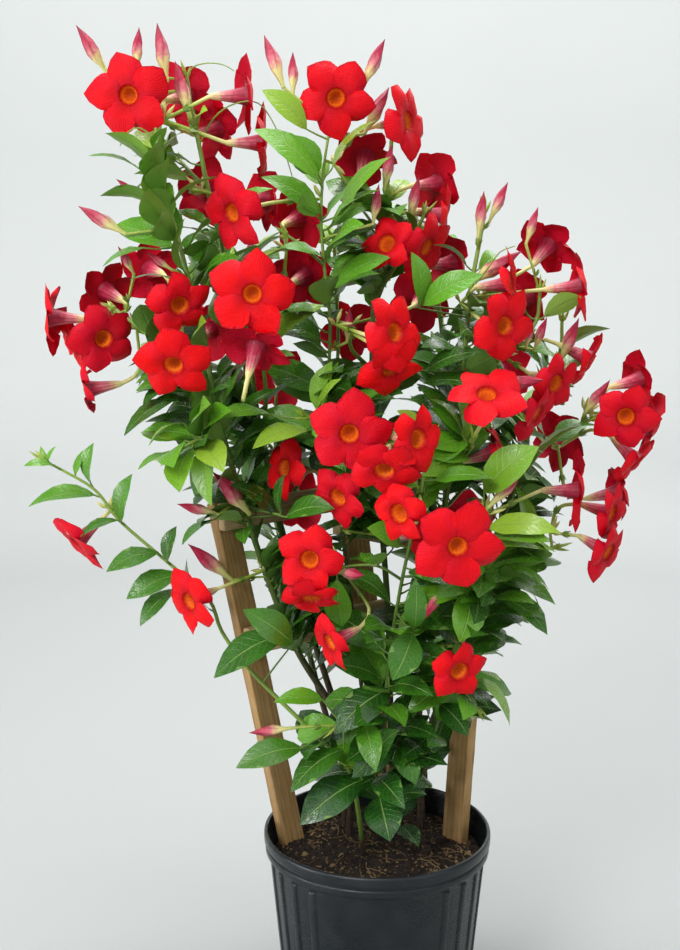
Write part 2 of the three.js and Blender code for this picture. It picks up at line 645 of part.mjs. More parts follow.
function trellis() {
  const stakes = Object.entries(STAKES).map(([name, stake]) => {
    const [low, high] = [LATH.footZ, LATH.headZ].map(stake.pointAt);
    return lathMesh(`stake_${name}`, low, high, stake.face, LATH.thick, "#8a6a3f");
  });
  const bars = Object.entries(BARS).flatMap(([name, levels]) =>
    Object.entries(levels).map(([level, z]) => {
      const ends = [STAKES[name], STAKES.back];
      let out = STAKES[name].face.clone();
      let [from, to, along] = [];
      for (let turn = 0; turn < 4; turn++) {
        const off = (stake) => reach(stake, out) + LATH.barThick / 2 + CLEAR;
        [from, to] = ends.map((stake) => stake.pointAt(z).addScaledVector(out, off(stake)));
        along = to.clone().sub(from).normalize();
        out = out.addScaledVector(along, -out.dot(along)).normalize();
      }
      from.addScaledVector(along, -BAR_OVERHANG);
      to.addScaledVector(along, BAR_OVERHANG);
      return lathMesh(`lath_${name}_${level}`, from, to, out, LATH.barThick, "#bda27a");
    }),
  );
  return [...stakes, ...bars];
}

// ---------------------------------------------------------------- plant pieces
// A leaf on its stalk: a blade that is thickest along its rib and arched toward its tip.
function leafRings({ root, base, dir, up, length, half, outline }, grow) {
  const side = dir.clone().cross(up);
  const roof = (centre, wide, high, width, rib) => [
    centre.clone().addScaledVector(wide, width + 2 * grow).addScaledVector(high, -grow),
    centre.clone().addScaledVector(high, rib + grow),
    centre.clone().addScaledVector(wide, -width - 2 * grow).addScaledVector(high, -grow),
  ];
  const stalk = base.clone().sub(root).normalize();
  const stalkSide = side.clone().addScaledVector(stalk, -side.dot(stalk)).normalize();
  const arch = (t) => length * LEAF.arch * (t - t * t);
  const rib = (t) => base.clone().addScaledVector(dir, length * t).addScaledVector(up, arch(t));
  const [thin, thick] = [LEAF.petioleHalf, 2 * LEAF.petioleHalf];
  return [
    roof(root, stalkSide, stalkSide.clone().cross(stalk), thin, thick),
    roof(base, side, up, thin, thick),
    ...outline.map(([t, share]) => roof(rib(t), side, up, half * share, LEAF.rib)),
    [rib(1).addScaledVector(dir, grow)],
  ];
}

function leafVariant(leaf) {
  return {
    ...leaf,
    rings: leafRings(leaf, 0).slice(1).map((ring) => [...ring].reverse()),
    blade: () => loft(leafRings(leaf, CLEAR).slice(1)),
    stalk: () => loft(leafRings(leaf, SEAT.around).slice(0, 2)),
    solid: () => loft(leafRings(leaf, 0)),
  };
}

// A place behind a flower's mouth, on its axis.
function behindMouth({ mouth, azimuth, rise }, distance) {
  return mouth.clone().addScaledVector(heading(azimuth, rise), -distance);
}

// The path of a flower's tube behind its funnel, to its hub. A sharp turn gets a bend of its own.
function flowerTube(flower) {
  const { azimuth, rise, hub, root } = flower;
  const axis = heading(azimuth, rise);
  const neck = behindMouth(flower, BLOOM.neck);
  const toward = neck.clone().sub(hub).normalize();
  const bend = axis.clone().addScaledVector(toward, 0.8).normalize();
  const base = toward.dot(axis) < BLOOM.straight ? [neck.addScaledVector(bend, -BLOOM.tube)] : [];
  return [...base, hub, ...(root ? [root] : [])];
}

// A flower: five lopsided lobes round a funnel, which narrows into a tube.
function flowerSolid(flower) {
  const axis = heading(flower.azimuth, flower.rise);
  const across = axis.clone().cross(UP).normalize();
  const over = across.clone().cross(axis);
  const points = [];
  const faces = [];
  const put = (p) => points.push(p) - 1;
  const onDisc = (degrees, radius, lift) => {
    const [x, y] = [Math.cos(degrees * RAD) * radius, Math.sin(degrees * RAD) * radius];
    return behindMouth(flower, -lift).addScaledVector(across, x).addScaledVector(over, y);
  };
  const lobes = Array.from({ length: BLOOM.lobes }, (_, i) => {
    const start = flower.roll + (i * 360) / BLOOM.lobes;
    const vary = (k) => draw(flower.index, 7 * i + k) - 0.5;
    const droop = 5 * vary(5);
    const corners = BLOOM.corners.map(([turn, share, lift], k) =>
      put(onDisc(start + turn, flower.reach * share * (1 + 0.12 * vary(k)), lift + droop)),
    );
    const [turn, share, lift] = BLOOM.heart;
    return {
      corners,
      heart: put(onDisc(start + turn, flower.reach * share, lift + droop / 2)),
      notches: [put(onDisc(start, BLOOM.mouth, 0)), put(onDisc(start, BLOOM.mouth + 0.5, -BLOOM.petal))],
      neck: put(onDisc(start, BLOOM.neckRadius, -BLOOM.neck)),
    };
  });
  const throat = put(flower.mouth.clone().addScaledVector(axis, -BLOOM.throat));
  lobes.forEach((here, i) => {
    const next = lobes[(i + 1) % BLOOM.lobes];
    const [first, middle, last] = here.corners;
    const [[front, back], [nextFront, nextBack]] = [here.notches, next.notches];
    const rim = [front, first, middle, last, nextFront];
    rim.forEach((a, k) => faces.push([a, rim[(k + 1) % rim.length], here.heart]));
    faces.push([first, back, last], [middle, first, last], [last, back, nextBack]);
    faces.push([front, nextFront, throat]);
    faces.push([last, nextBack, nextFront], [nextFront, nextBack, next.corners[0]]);
    faces.push([nextBack, back, here.neck], [nextBack, here.neck, next.neck]);
  });
  let ring = lobes.map(({ neck }) => neck);
  const path = flowerTube(flower);
  path.forEach((p, i) => {
    const along = p.clone().sub(i ? path[i - 1] : points[throat]).normalize();
    if (i + 1 < path.length) along.add(path[i + 1].clone().sub(p).normalize()).normalize();
    const wide = across.clone().addScaledVector(along, -across.dot(along)).normalize();
    const high = along.clone().cross(wide);
    const radius = i + 1 < path.length ? STALK.tube : STALK.end;
    const turned = lobes.map((_, k) => {
      const turn = (flower.roll + (k * 360) / BLOOM.lobes) * RAD;
      const place = p.clone().addScaledVector(wide, Math.cos(turn) * radius);
      return put(place.addScaledVector(high, Math.sin(turn) * radius));
    });
    ring.forEach((a, k) => {
      const n = (k + 1) % BLOOM.lobes;
      faces.push([ring[n], a, turned[k]], [ring[n], turned[k], turned[n]]);
    });
    ring = turned;
  });
  for (let k = 1; k + 1 < BLOOM.lobes; k++) faces.push([ring[0], ring[k + 1], ring[k]]);
  return solidFrom(points, faces);
}

// ---------------------------------------------------------------- a shoot with what grows on it
// The seats of a shoot's growths along its stem: up to two growths that start close together share one,
// and no seat reaches into the next one.
function seatsOf(growths, total) {
  const seats = [];
  for (const growth of [...growths].sort((a, b) => a.distance - b.distance)) {
    const last = seats.at(-1) ?? { middle: -Infinity, growths: [] };
    const isNear = growth.distance - last.middle < SEAT.shared;
    if (isNear && last.growths.length < 2) last.growths.push(growth);
    else seats.push({ middle: Math.max(growth.distance, last.middle + SEAT.apart), growths: [growth] });
  }
  let room = total - SEAT.half;
  for (const seat of [...seats].reverse()) {
    seat.middle = Math.min(seat.middle, room);
    room = seat.middle - SEAT.apart;
  }
  return seats;
}

// Where a stem has a ring of corners: at both ends of every seat, and at the bends between them.
function stationsOf(line, seats) {
  const marks = seats.flatMap(({ middle }) => [middle - SEAT.half, middle + SEAT.half]);
  let run = 0;
  const bends = line.map((p, i) => {
    run += i ? p.distanceTo(line[i - 1]) : 0;
    return run;
  });
  const kept = bends.filter((d, i) => {
    const isEnd = i === 0 || i + 1 === bends.length;
    return marks.every((mark) => Math.abs(mark - d) > (isEnd ? 0.01 : SEAT.apart));
  });
  return [...marks, ...kept].sort((a, b) => a - b);
}

const middleOf = (points) => points.reduce((sum, p) => sum.add(p), V(0, 0, 0)).divideScalar(points.length);

// A stem's ring at a distance along it, between the rings at the ends of that stretch.
function ringsAlong(line, rings) {
  return (distance) => {
    let run = 0;
    let i = 0;
    while (i + 2 < line.length && distance > run + line[i].distanceTo(line[i + 1])) {
      run += line[i].distanceTo(line[i + 1]);
      i += 1;
    }
    const share = (distance - run) / line[i].distanceTo(line[i + 1]);
    return rings[i].map((p, j) => p.clone().lerp(rings[i + 1][j], share));
  };
}

// The face of a stem, by its first corner, that looks most toward each growth of a seat.
function facesTaken(ring, growths) {
  const taken = new Map();
  const centre = middleOf(ring);
  for (const growth of growths) {
    const out = middleOf(growth.rings[0]).sub(centre);
    const lean = (j) => middleOf([ring[j], ring[(j + 1) % STEM.sides]]).sub(centre).dot(out);
    const free = ring.map((_, j) => j).filter((j) => !taken.has(j));
    taken.set(free.reduce((a, b) => (lean(b) > lean(a) ? b : a)), growth);
  }
  return taken;
}

// A stem whose leaves and buds grow out of its faces in one skin. Each growth has its distance along
// the stem and its own rings, from its base to its tip.
function shootSolid({ line, radii, growths }) {
  const total = lengthOf(line);
  const seats = seatsOf(growths, total);
  const stations = stationsOf(line, seats);
  const rings = stations.map(ringsAlong(line, tubeRings(line, radii, STEM.sides)));
  const points = rings.flat();
  const faces = [];
  for (let i = 0; i + 1 < rings.length; i++) {
    const seat = seats.find(({ middle }) => stations[i] < middle && middle < stations[i + 1]);
    const taken = facesTaken(rings[i], seat ? seat.growths : []);
    for (let j = 0; j < STEM.sides; j++) {
      const k = (j + 1) % STEM.sides;
      const [a, b] = [i * STEM.sides, (i + 1) * STEM.sides];
      const quad = [a + j, a + k, b + k, b + j];
      const growth = taken.get(j);
      if (growth) {
        const isTriangle = growth.rings[0].length === 3;
        if (isTriangle) faces.push([quad[0], quad[2], quad[3]]);
        growOut(isTriangle ? quad.slice(0, 3) : quad, growth.rings, points, faces);
      } else {
        faces.push([quad[0], quad[1], quad[2]], [quad[0], quad[2], quad[3]]);
      }
    }
  }
  const last = STEM.sides * (rings.length - 1);
  for (let j = 1; j + 1 < STEM.sides; j++) faces.push([0, j + 1, j], [last, last + j, last + j + 1]);
  return solidFrom(points, faces);
}

// Skins a growth from an opening's corners, which run anticlockwise seen from outside, to its tip. The
// first ring is turned to meet the opening's corners as closely as it can, and the others follow it.
function growOut(opening, rings, points, faces) {
  let from = opening;
  let turn = null;
  rings.forEach((ring) => {
    const put = ring.map((p) => points.push(p) - 1);
    if (put.length === 1) {
      from.forEach((a, m) => faces.push([a, from[(m + 1) % from.length], put[0]]));
      return;
    }
    const met = (m, by) => (m + by) % put.length;
    const miss = (by) => from.reduce((sum, a, m) => sum + points[a].distanceTo(points[put[met(m, by)]]), 0);
    turn ??= put.map((_, by) => by).reduce((a, b) => (miss(b) < miss(a) ? b : a));
    const to = from.map((_, m) => put[met(m, turn)]);
    from.forEach((a, m) => {
      const n = (m + 1) % from.length;
      if (met(m, turn) % 2) faces.push([a, from[n], to[m]], [from[n], to[n], to[m]]);
      else faces.push([a, from[n], to[n]], [a, to[n], to[m]]);
    });
    from = to;
  });
}

// ---------------------------------------------------------------- growing the plant
function stemLines() {
  return Object.entries(STEMS).flatMap(([name, { foot, shoots }]) =>
    shoots.map(({ path, leafy, size }, i) => {
      const rooted = i === 0 ? [V(...foot, SOIL.top - STEM.footDepth), V(...foot, SOIL.top + 6)] : [];
      const line = [...rooted, ...path.map(at)];
      const [thick, thin] = i === 0 ? [STEM.foot, STEM.tip] : [STEM.branch, STEM.branchTip];
      const radii = line.map((_, k) => thick + ((thin - thick) * k) / (line.length - 1));
      return { node: `leafy_stem_${name}`, line, radii, leafy, size, growths: [] };
    }),
  );
}

// A bare stem grown by CLEAR, over its faces and past its ends.
function shellOf({ line, radii }) {
  const pastEnd = (end, next) => end.clone().addScaledVector(end.clone().sub(next).normalize(), CLEAR);
  const longer = [pastEnd(line[0], line[1]), ...line.slice(1, -1), pastEnd(line.at(-1), line.at(-2))];
  return tube(longer, grown(radii, CLEAR / Math.cos(Math.PI / STEM.sides)), STEM.sides);
}

// The point of the nearest shoot to a target, away from the shoot's ends.
function rootNear(shoots, target) {
  const found = shoots.map((shoot) => ({ shoot, ...nearestOn(shoot.line, target) }));
  const best = found.reduce((a, b) => (b.gap < a.gap ? b : a));
  const low = best.shoot.line[0].z < SOIL.top ? STEM.bareFoot : 2;
  const distance = THREE.MathUtils.clamp(best.distance, low, lengthOf(best.shoot.line) - 2);
  return { shoot: best.shoot, distance, root: spot(best.shoot.line, distance).point };
}

// A spray's flowers. Their tubes meet at a hub, and the first one's goes on to the nearest stem, where
// it ends as near the stem as it can while it is clear of the stem's shell.
function growSpray([name, rows], order, shoots) {
  const flowers = rows.map(([column, row, y, azimuth, rise, span], i) => {
    const mouth = at([column, row, y]);
    const index = 10 * order + i;
    return { index, mouth, azimuth, rise, reach: span, roll: 72 * draw(index, 40) };
  });
  const length = BLOOM.neck + BLOOM.tube + STALK.run;
  const middle = middleOf(flowers.map((flower) => behindMouth(flower, length)));
  const alone = flowers.length === 1;
  const { shoot, root: core } = rootNear(shoots, middle);
  const toward = alone ? behindMouth(flowers[0], BLOOM.neck) : middle;
  const away = toward.clone().sub(core).normalize();
  const shell = shellOf(shoot);
  for (let stop = STALK.step; ; stop += STALK.step) {
    const root = core.clone().addScaledVector(away, stop);
    const hub = alone ? root : root.clone().lerp(middle, STALK.hub);
    const borne = flowers.map((flower, i) => ({ ...flower, hub, root: alone || i > 0 ? null : root }));
    if (stalkEnd(borne[0]).intersect(shell).isEmpty()) return { name: `bloom_${name}`, flowers: borne };
  }
}

// The last stretch of a flower's stalk.
function stalkEnd(flower) {
  const path = flowerTube(flower);
  const end = path.at(-1);
  const along = (path.at(-2) ?? behindMouth(flower, BLOOM.neck)).clone().sub(end).normalize();
  const stretch = [end, end.clone().addScaledVector(along, STALK.run / 2)];
  return tube(stretch, [STALK.end, STALK.end], BLOOM.lobes);
}

function budVariants([tipPlace, neckPlace], shoots) {
  return BUD.shifts.map((shift) => {
    const [tip, neck] = [tipPlace, neckPlace].map(([column, row, y]) => at([column, row, y + shift]));
    const length = tip.distanceTo(neck);
    const back = neck.clone().addScaledVector(tip.clone().sub(neck).normalize(), -BUD.back);
    const { shoot, distance, root } = rootNear(shoots, back);
    const path = [root, neck, neck.clone().lerp(tip, BUD.bellyAt), tip];
    const radii = [BUD.stalk, BUD.neck, length * BUD.belly, 0];
    const part = (from, to, grow) => {
      return tube(path.slice(from, to), grown(radii.slice(from, to), grow), BUD.sides);
    };
    return {
      shoot,
      distance,
      rings: tubeRings(path, radii, BUD.sides).slice(1),
      blade: () => part(1, 4, CLEAR),
      stalk: () => part(0, 2, SEAT.around),
      solid: () => part(0, 4, 0),
    };
  });
}

const AXIS_Y = 40; // the leafy mass stands round a line this far behind the pot's axis

// The side of a leaf that faces up and away from the plant's middle, square to the leaf.
function upperSide(point, dir, roll) {
  const out = V(point.x, point.y - AXIS_Y, 0).normalize();
  const up = UP.clone().multiplyScalar(0.75).addScaledVector(out, 0.7);
  return up.addScaledVector(dir, -up.dot(dir)).normalize().applyAxisAngle(dir, roll * RAD);
}

function loneLeafVariants([basePlace, tipPlace, half], index, shoots) {
  return LEAF.loneShifts.map(([shift, roll]) => {
    const base = at([basePlace[0], basePlace[1], basePlace[2] + shift]);
    const tip = at([tipPlace[0], tipPlace[1], tipPlace[2] + shift]);
    const dir = tip.clone().sub(base).normalize();
    const { shoot, distance, root } = rootNear(shoots, base.clone().addScaledVector(dir, -LEAF.petiole));
    const up = upperSide(base, dir, roll + 30 * (draw(index, 50) - 0.5));
    const length = base.distanceTo(tip);
    const outline = half >= LEAF.broadFrom ? LEAF.broad : LEAF.slim;
    return leafVariant({ shoot, distance, root, base, dir, up, length, half, outline });
  });
}

function pairLeafVariants(shoot, distance, share, turn, index) {
  const { point, tangent } = spot(shoot.line, distance);
  const aside = tangent.clone().cross(Math.abs(tangent.z) > 0.9 ? V(1, 0, 0) : UP).normalize();
  const young = Math.min(1, 0.45 + 1.6 * (1 - share));
  return LEAF.pairShifts.map(([swing, scale, lift]) => {
    const radial = aside.clone().applyAxisAngle(tangent, (turn + swing) * RAD);
    const dir = radial.addScaledVector(tangent, 0.35 + lift).addScaledVector(UP, 0.1).normalize();
    const length = shoot.size * young * scale * (0.86 + 0.3 * draw(index, 60));
    const half = length * (0.2 + 0.05 * draw(index, 61));
    const up = upperSide(point, dir, 40 * (draw(index, 62) - 0.5));
    const base = point.clone().addScaledVector(dir, LEAF.petiole);
    const root = point.clone().addScaledVector(dir, LEAF.root);
    return leafVariant({ shoot, distance, root, base, dir, up, length, half, outline: LEAF.slim });
  });
}

function growLeaves(shoots) {
  LONE_LEAVES.forEach((leaf, i) => settle(loneLeafVariants(leaf, i, shoots)));
  shoots.filter(({ leafy }) => leafy).forEach((shoot, s) => {
    const length = lengthOf(shoot.line);
    const [from, to] = shoot.leafy.map((share) => share * length);
    for (let n = 0, d = from; d < to - 4; n += 1, d += LEAF.pitch * (0.9 + 0.2 * draw(n, s))) {
      for (const side of [0, 180]) {
        const index = 1000 * (s + 1) + 2 * n + side / 180;
        const turn = 90 * n + side + 50 * (draw(index, 63) - 0.5);
        const share = (d - from) / (to - from);
        settle(pairLeafVariants(shoot, d, share, turn, index));
      }
    }
  });
}

// ---------------------------------------------------------------- building the object
const FINISH = {
  pot: { color: "#23272c", roughness: 0.42, metalness: 0 },
  soil: { color: "#3a2a1c", roughness: 0.95, metalness: 0 },
  leaf: { color: "#2f6b2a", roughness: 0.38, metalness: 0 },
  petal: { color: "#d4101c", roughness: 0.45, metalness: 0 },
};
const group = new THREE.Group();

function addMesh(name, solid, finish) {
  const mesh = new THREE.Mesh(geometryOf(solid), new THREE.MeshStandardMaterial(FINISH[finish]));
  mesh.name = name;
  group.add(mesh);
}

// The laths and the stems stand first, and the flowers and the soil give way to them.
for (const mesh of trellis()) {
  const { width, height, depth } = mesh.geometry.parameters;
  const boxOf = (grow) => {
    const box = new THREE.BoxGeometry(width + 2 * grow, height + 2 * grow, depth + 2 * grow);
    return solidOf(box, mesh.matrixWorld);
  };
  place(mesh.name, boxOf(0), () => boxOf(CLEAR));
  group.add(mesh);
}
const shoots = stemLines();
shoots.forEach((shoot) => {
  place(shoot.node, tube(shoot.line, shoot.radii, STEM.sides), () => shellOf(shoot));
});
const frame = [...placed];
const cutFree = (whole) =>
  frame
    .filter(({ box }) => boxesMeet(whole.boundingBox(), box))
    .reduce((solid, { shell }) => mainBody(solid.subtract(shell())), whole);

const blooms = Object.entries(SPRAYS).map((spray, order) => growSpray(spray, order, shoots));
blooms.forEach(({ name, flowers }) => place(name, cutFree(wasm.Manifold.union(flowers.map(flowerSolid)))));
const shapes = placed.slice(frame.length);

BUDS.forEach((bud) => settle(budVariants(bud, shoots)));
growLeaves(shoots);

addMesh("pot", potSolid(), "pot");
addMesh("soil", cutFree(soilSolid()), "soil");
for (const node of new Set(shoots.map((shoot) => shoot.node))) {
  const own = shoots.filter((shoot) => shoot.node === node);
  addMesh(node, wasm.Manifold.union(own.map(shootSolid)), "leaf");
}
shapes.forEach(({ node, solid }) => addMesh(node, solid, "petal"));

export default group;
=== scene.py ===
"""A red mandevilla on its wooden trellis in a black nursery pot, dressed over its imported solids.

Lengths are in millimetres until a mesh is finished, and in metres in the finished meshes.
"""
import logging
import math
from dataclasses import dataclass, field
from enum import Enum

import bpy
import numpy as np
from mathutils import Matrix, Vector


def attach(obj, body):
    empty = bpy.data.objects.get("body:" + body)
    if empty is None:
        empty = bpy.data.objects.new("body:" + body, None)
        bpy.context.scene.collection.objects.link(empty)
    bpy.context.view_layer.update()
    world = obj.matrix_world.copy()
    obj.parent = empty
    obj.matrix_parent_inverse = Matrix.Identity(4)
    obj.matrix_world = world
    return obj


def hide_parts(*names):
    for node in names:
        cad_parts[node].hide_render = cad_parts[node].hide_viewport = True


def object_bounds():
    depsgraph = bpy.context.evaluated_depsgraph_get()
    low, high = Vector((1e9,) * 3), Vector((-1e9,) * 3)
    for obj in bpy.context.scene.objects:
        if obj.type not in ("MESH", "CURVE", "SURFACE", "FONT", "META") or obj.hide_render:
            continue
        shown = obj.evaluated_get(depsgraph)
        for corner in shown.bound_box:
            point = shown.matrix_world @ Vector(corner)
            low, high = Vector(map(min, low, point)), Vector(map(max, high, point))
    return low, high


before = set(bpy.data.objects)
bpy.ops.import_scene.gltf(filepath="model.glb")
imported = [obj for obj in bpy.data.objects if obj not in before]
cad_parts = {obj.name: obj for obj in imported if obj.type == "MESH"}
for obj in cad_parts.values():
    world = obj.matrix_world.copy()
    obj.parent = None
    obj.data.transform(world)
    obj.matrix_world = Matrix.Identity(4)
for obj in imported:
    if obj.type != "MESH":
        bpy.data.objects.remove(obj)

CAD_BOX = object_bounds()
LOG = logging.getLogger("mandevilla")
MM = 0.001
Colour = tuple[float, float, float, float]
Place = tuple[float, float, float]
Array = np.ndarray
Piece = bpy.types.Object
Coat = bpy.types.Material
Nodes = bpy.types.NodeTree
Shapes = bpy.types.Collection
Socket = bpy.types.NodeSocket
Sockets = bpy.types.bpy_prop_collection
Faces = list[tuple[int, ...]]
UP = np.array([0.0, 0.0, 1.0])
TINY = 1e-9
TRELLIS_Y = 40  # the trellis's own axis stands behind the pot's


class Slot(Enum):
    """A finish in the part's list of materials, named along with each piece."""

    POT = "pot"
    SOIL = "soil"
    STAKE = "stake"
    LATH = "lath"
    LEAFY_STEM = "leafy_stem"
    BLOOM = "bloom"


def paint(code: str) -> Colour:
    """A linear colour from a hex code such as "c81020"."""
    parts = [int(code[i : i + 2], 16) / 255 for i in (0, 2, 4)]
    return (*(p / 12.92 if p <= 0.04045 else ((p + 0.055) / 1.055) ** 2.4 for p in parts), 1.0)


def size_of(vector: Array) -> float:
    """A vector's length."""
    return float(np.linalg.norm(vector))


def unit(vector: Array) -> Array:
    """The vector at a length of one."""
    return vector / max(size_of(vector), TINY)


def upright(along: Array, side: Array) -> tuple[Array, Array, Array]:
    """A shape's own X, Y and Z directions, from its Z and its X."""
    return side, np.cross(along, side), along


def athwart(along: Array) -> Array:
    """A direction across another one, level wherever it can be."""
    return unit(np.cross(along, UP) + 1e-6)


def round_about(along: Array, aside: Array, turn: float) -> Array:
    """A direction across another one, turned round it from a first one."""
    return aside * math.cos(turn) + np.cross(along, aside) * math.sin(turn)


def smooth(value: Array | float, low: float, high: float) -> Array | float:
    """A smooth step from 0 at low to 1 at high."""
    share = np.clip((value - low) / (high - low), 0, 1)
    return share * share * (3 - 2 * share)


# ---- layout sheet
@dataclass(frozen=True)
class Sheet:
    """An upright sheet in front of an eye, on which the plant is laid out."""

    eye: Place = (-46.0, -1515.0, 946.0)
    column: float = 340.0
    row: float = 475.0
    away: float = 1300.0
    pitch: float = math.radians(9.9)

    def axes(self) -> tuple[Array, Array]:
        """The line of sight and the sheet's upward edge."""
        c, s = math.cos(self.pitch), math.sin(self.pitch)
        return np.array([0, c, -s]), np.array([0, s, c])

    def at(self, place: Place) -> Array:
        """Finds a point from its sheet place.

        Args:
            place: Its column and row on the sheet, and its distance behind the pot's axis.

        Returns:
            The point.
        """
        sight, rise = self.axes()
        ray = sight * self.away + rise * (self.row - place[1])
        ray[0] += place[0] - self.column
        eye = np.array(self.eye)
        return eye + ray * ((place[2] - eye[1]) / ray[1])

    def seen(self, points: Array) -> Array:
        """Finds where points line up on the sheet.

        Args:
            points: One row of x, y, z for each point.

        Returns:
            The column and row of each.
        """
        sight, rise = self.axes()
        ray = points - np.array(self.eye)
        share = self.away / (ray @ sight)
        return np.stack([self.column + ray[:, 0] * share, self.row - (ray @ rise) * share], axis=1)


SHEET = Sheet()


@dataclass(frozen=True)
class Shoot:
    """A shoot's grown leaf length, where it has its own, and its path in sheet places."""

    leaf: float
    path: tuple[Place, ...]


@dataclass(frozen=True)
class Stem:
    """A stem that enters the soil at its foot, with its shoots."""

    foot: tuple[float, float]
    shoots: tuple[Shoot, ...]


STEMS: dict[str, Stem] = {
    "left": Stem((-34, 34), (
        Shoot(74, ((352, 742, 12), (328, 700, 5), (297, 650, 0), (272, 590, 0), (248, 520, -12), (230, 460, -30),
            (214, 400, -40), (203, 330, -40), (189, 282, -35), (177, 235, -28), (163, 190, -22), (157, 140, -18),
            (154, 100, -15))),
        Shoot(62, ((214, 400, -40), (184, 372, -45), (156, 342, -30), (132, 322, -20), (116, 310, -12))),
        Shoot(72, ((223, 430, -36), (198, 440, -70), (172, 452, -78))),
    )),
    "top_left": Stem((-40, 66), (
        Shoot(72, ((348, 750, 62), (330, 690, 66), (304, 610, 66), (282, 530, 60), (262, 450, 50), (246, 370, 44),
            (232, 300, 38), (220, 240, 32), (208, 190, 28), (199, 145, 24), (191, 108, 18), (187, 78, 15))),
        Shoot(68, ((262, 450, 50), (266, 400, 0), (264, 372, -40), (262, 345, -60))),
        Shoot(60, ((208, 190, 28), (190, 172, 60), (180, 160, 80))),
    )),
    "top_centre": Stem((6, 50), (
        Shoot(72, ((372, 748, 40), (362, 690, 36), (352, 610, 22), (342, 530, 5), (334, 450, -10), (329, 380, -18),
            (330, 320, -25), (324, 265, -28), (321, 215, -28), (324, 165, -26), (331, 122, -24))),
        Shoot(0, ((324, 265, -28), (302, 246, -34), (288, 236, -42))),
        Shoot(66, ((334, 450, -10), (318, 425, -60), (306, 418, -78))),
    )),
    "top_right": Stem((26, 74), (
        Shoot(70, ((392, 750, 66), (390, 690, 58), (388, 610, 54), (382, 530, 50), (375, 450, 50), (372, 370, 48),
            (374, 300, 44), (379, 245, 32), (386, 195, 24), (391, 150, 18), (392, 122, 15))),
        Shoot(58, ((374, 300, 44), (394, 268, 24), (412, 240, 14), (424, 215, 14))),
        Shoot(0, ((372, 370, 48), (352, 350, 10), (350, 338, -10))),
    )),
    "right": Stem((44, 44), (
        Shoot(74, ((408, 750, 38), (416, 690, 34), (428, 610, 24), (440, 540, 12), (450, 470, 0), (458, 400, -12),
            (466, 340, -18), (471, 290, -22), (479, 245, -20), (485, 212, -15))),
        Shoot(64, ((458, 400, -12), (486, 368, -18), (514, 346, -14), (536, 322, 2), (540, 292, 10))),
        Shoot(70, ((450, 470, 0), (468, 452, -60), (474, 438, -84))),
    )),
    "outer_right": Stem((60, 74), (
        Shoot(68, ((420, 760, 74), (440, 700, 82), (462, 630, 84), (484, 570, 78), (506, 510, 64), (532, 462, 46),
            (560, 434, 26), (590, 420, 12))),
        Shoot(64, ((506, 510, 64), (524, 450, 66), (542, 396, 60), (560, 352, 48), (562, 322, 40))),
    )),
    "lower_right": Stem((52, 6), (
        Shoot(70, ((424, 768, -10), (438, 716, -34), (454, 664, -50), (474, 614, -60), (500, 572, -60),
            (530, 552, -52), (554, 548, -45))),
        Shoot(62, ((454, 664, -50), (466, 690, -74), (476, 706, -84))),
        Shoot(70, ((474, 614, -60), (478, 560, -90), (484, 514, -104))),
    )),
    "front_centre": Stem((18, 4), (
        Shoot(72, ((384, 770, -34), (386, 700, -62), (392, 640, -84), (402, 580, -104), (414, 525, -116),
            (424, 475, -120), (430, 440, -116))),
        Shoot(60, ((402, 580, -104), (378, 566, -104), (350, 566, -90), (326, 572, -80))),
        Shoot(72, ((386, 700, -62), (362, 712, -84), (336, 726, -96))),
        Shoot(74, ((384, 770, -34), (366, 776, -56), (350, 766, -74))),
    )),
    "spray": Stem((-18, -12), (
        Shoot(0, ((352, 778, -34), (336, 755, -52), (300, 720, -60), (250, 670, -50), (222, 632, -40),
            (208, 598, -34), (165, 560, -32), (120, 521, -32), (95, 490, -32), (62, 470, -32), (46, 462, -32))),
    )),
    "back_left": Stem((-56, 88), (
        Shoot(74, ((334, 750, 104), (316, 680, 124), (296, 600, 146), (276, 520, 158), (262, 440, 160),
            (252, 370, 152), (246, 310, 138), (240, 260, 120))),
        Shoot(66, ((262, 440, 160), (224, 396, 148), (190, 356, 126), (164, 330, 104))),
        Shoot(74, ((276, 520, 158), (306, 470, 190), (330, 410, 204), (338, 350, 190), (336, 290, 164),
            (334, 240, 136))),
    )),
    "back_right": Stem((62, 100), (
        Shoot(74, ((416, 745, 128), (426, 670, 158), (434, 590, 178), (444, 510, 184), (448, 430, 176),
            (444, 360, 158), (438, 300, 134), (430, 250, 104))),
        Shoot(66, ((444, 510, 184), (482, 468, 174), (520, 430, 150), (552, 400, 118))),
    )),
}

# A thin twining tip, by the stem that bears it.
TWINERS: dict[str, tuple[tuple[Place, ...], ...]] = {
    "top_left": (
        ((190, 104, 18), (186, 84, 10), (192, 68, 4), (208, 63, 0), (224, 65, 0), (234, 71, 2)),
        ((199, 145, 24), (214, 118, 10), (234, 104, 0), (258, 103, -6), (275, 126, -8),
         (286, 156, -10), (295, 186, -12)),
    ),
    "right": (((471, 290, -22), (488, 268, -30), (500, 252, -34), (515, 246, -30)),),
    "left": (((157, 140, -18), (140, 128, -22), (128, 132, -24), (120, 146, -24)),),
}


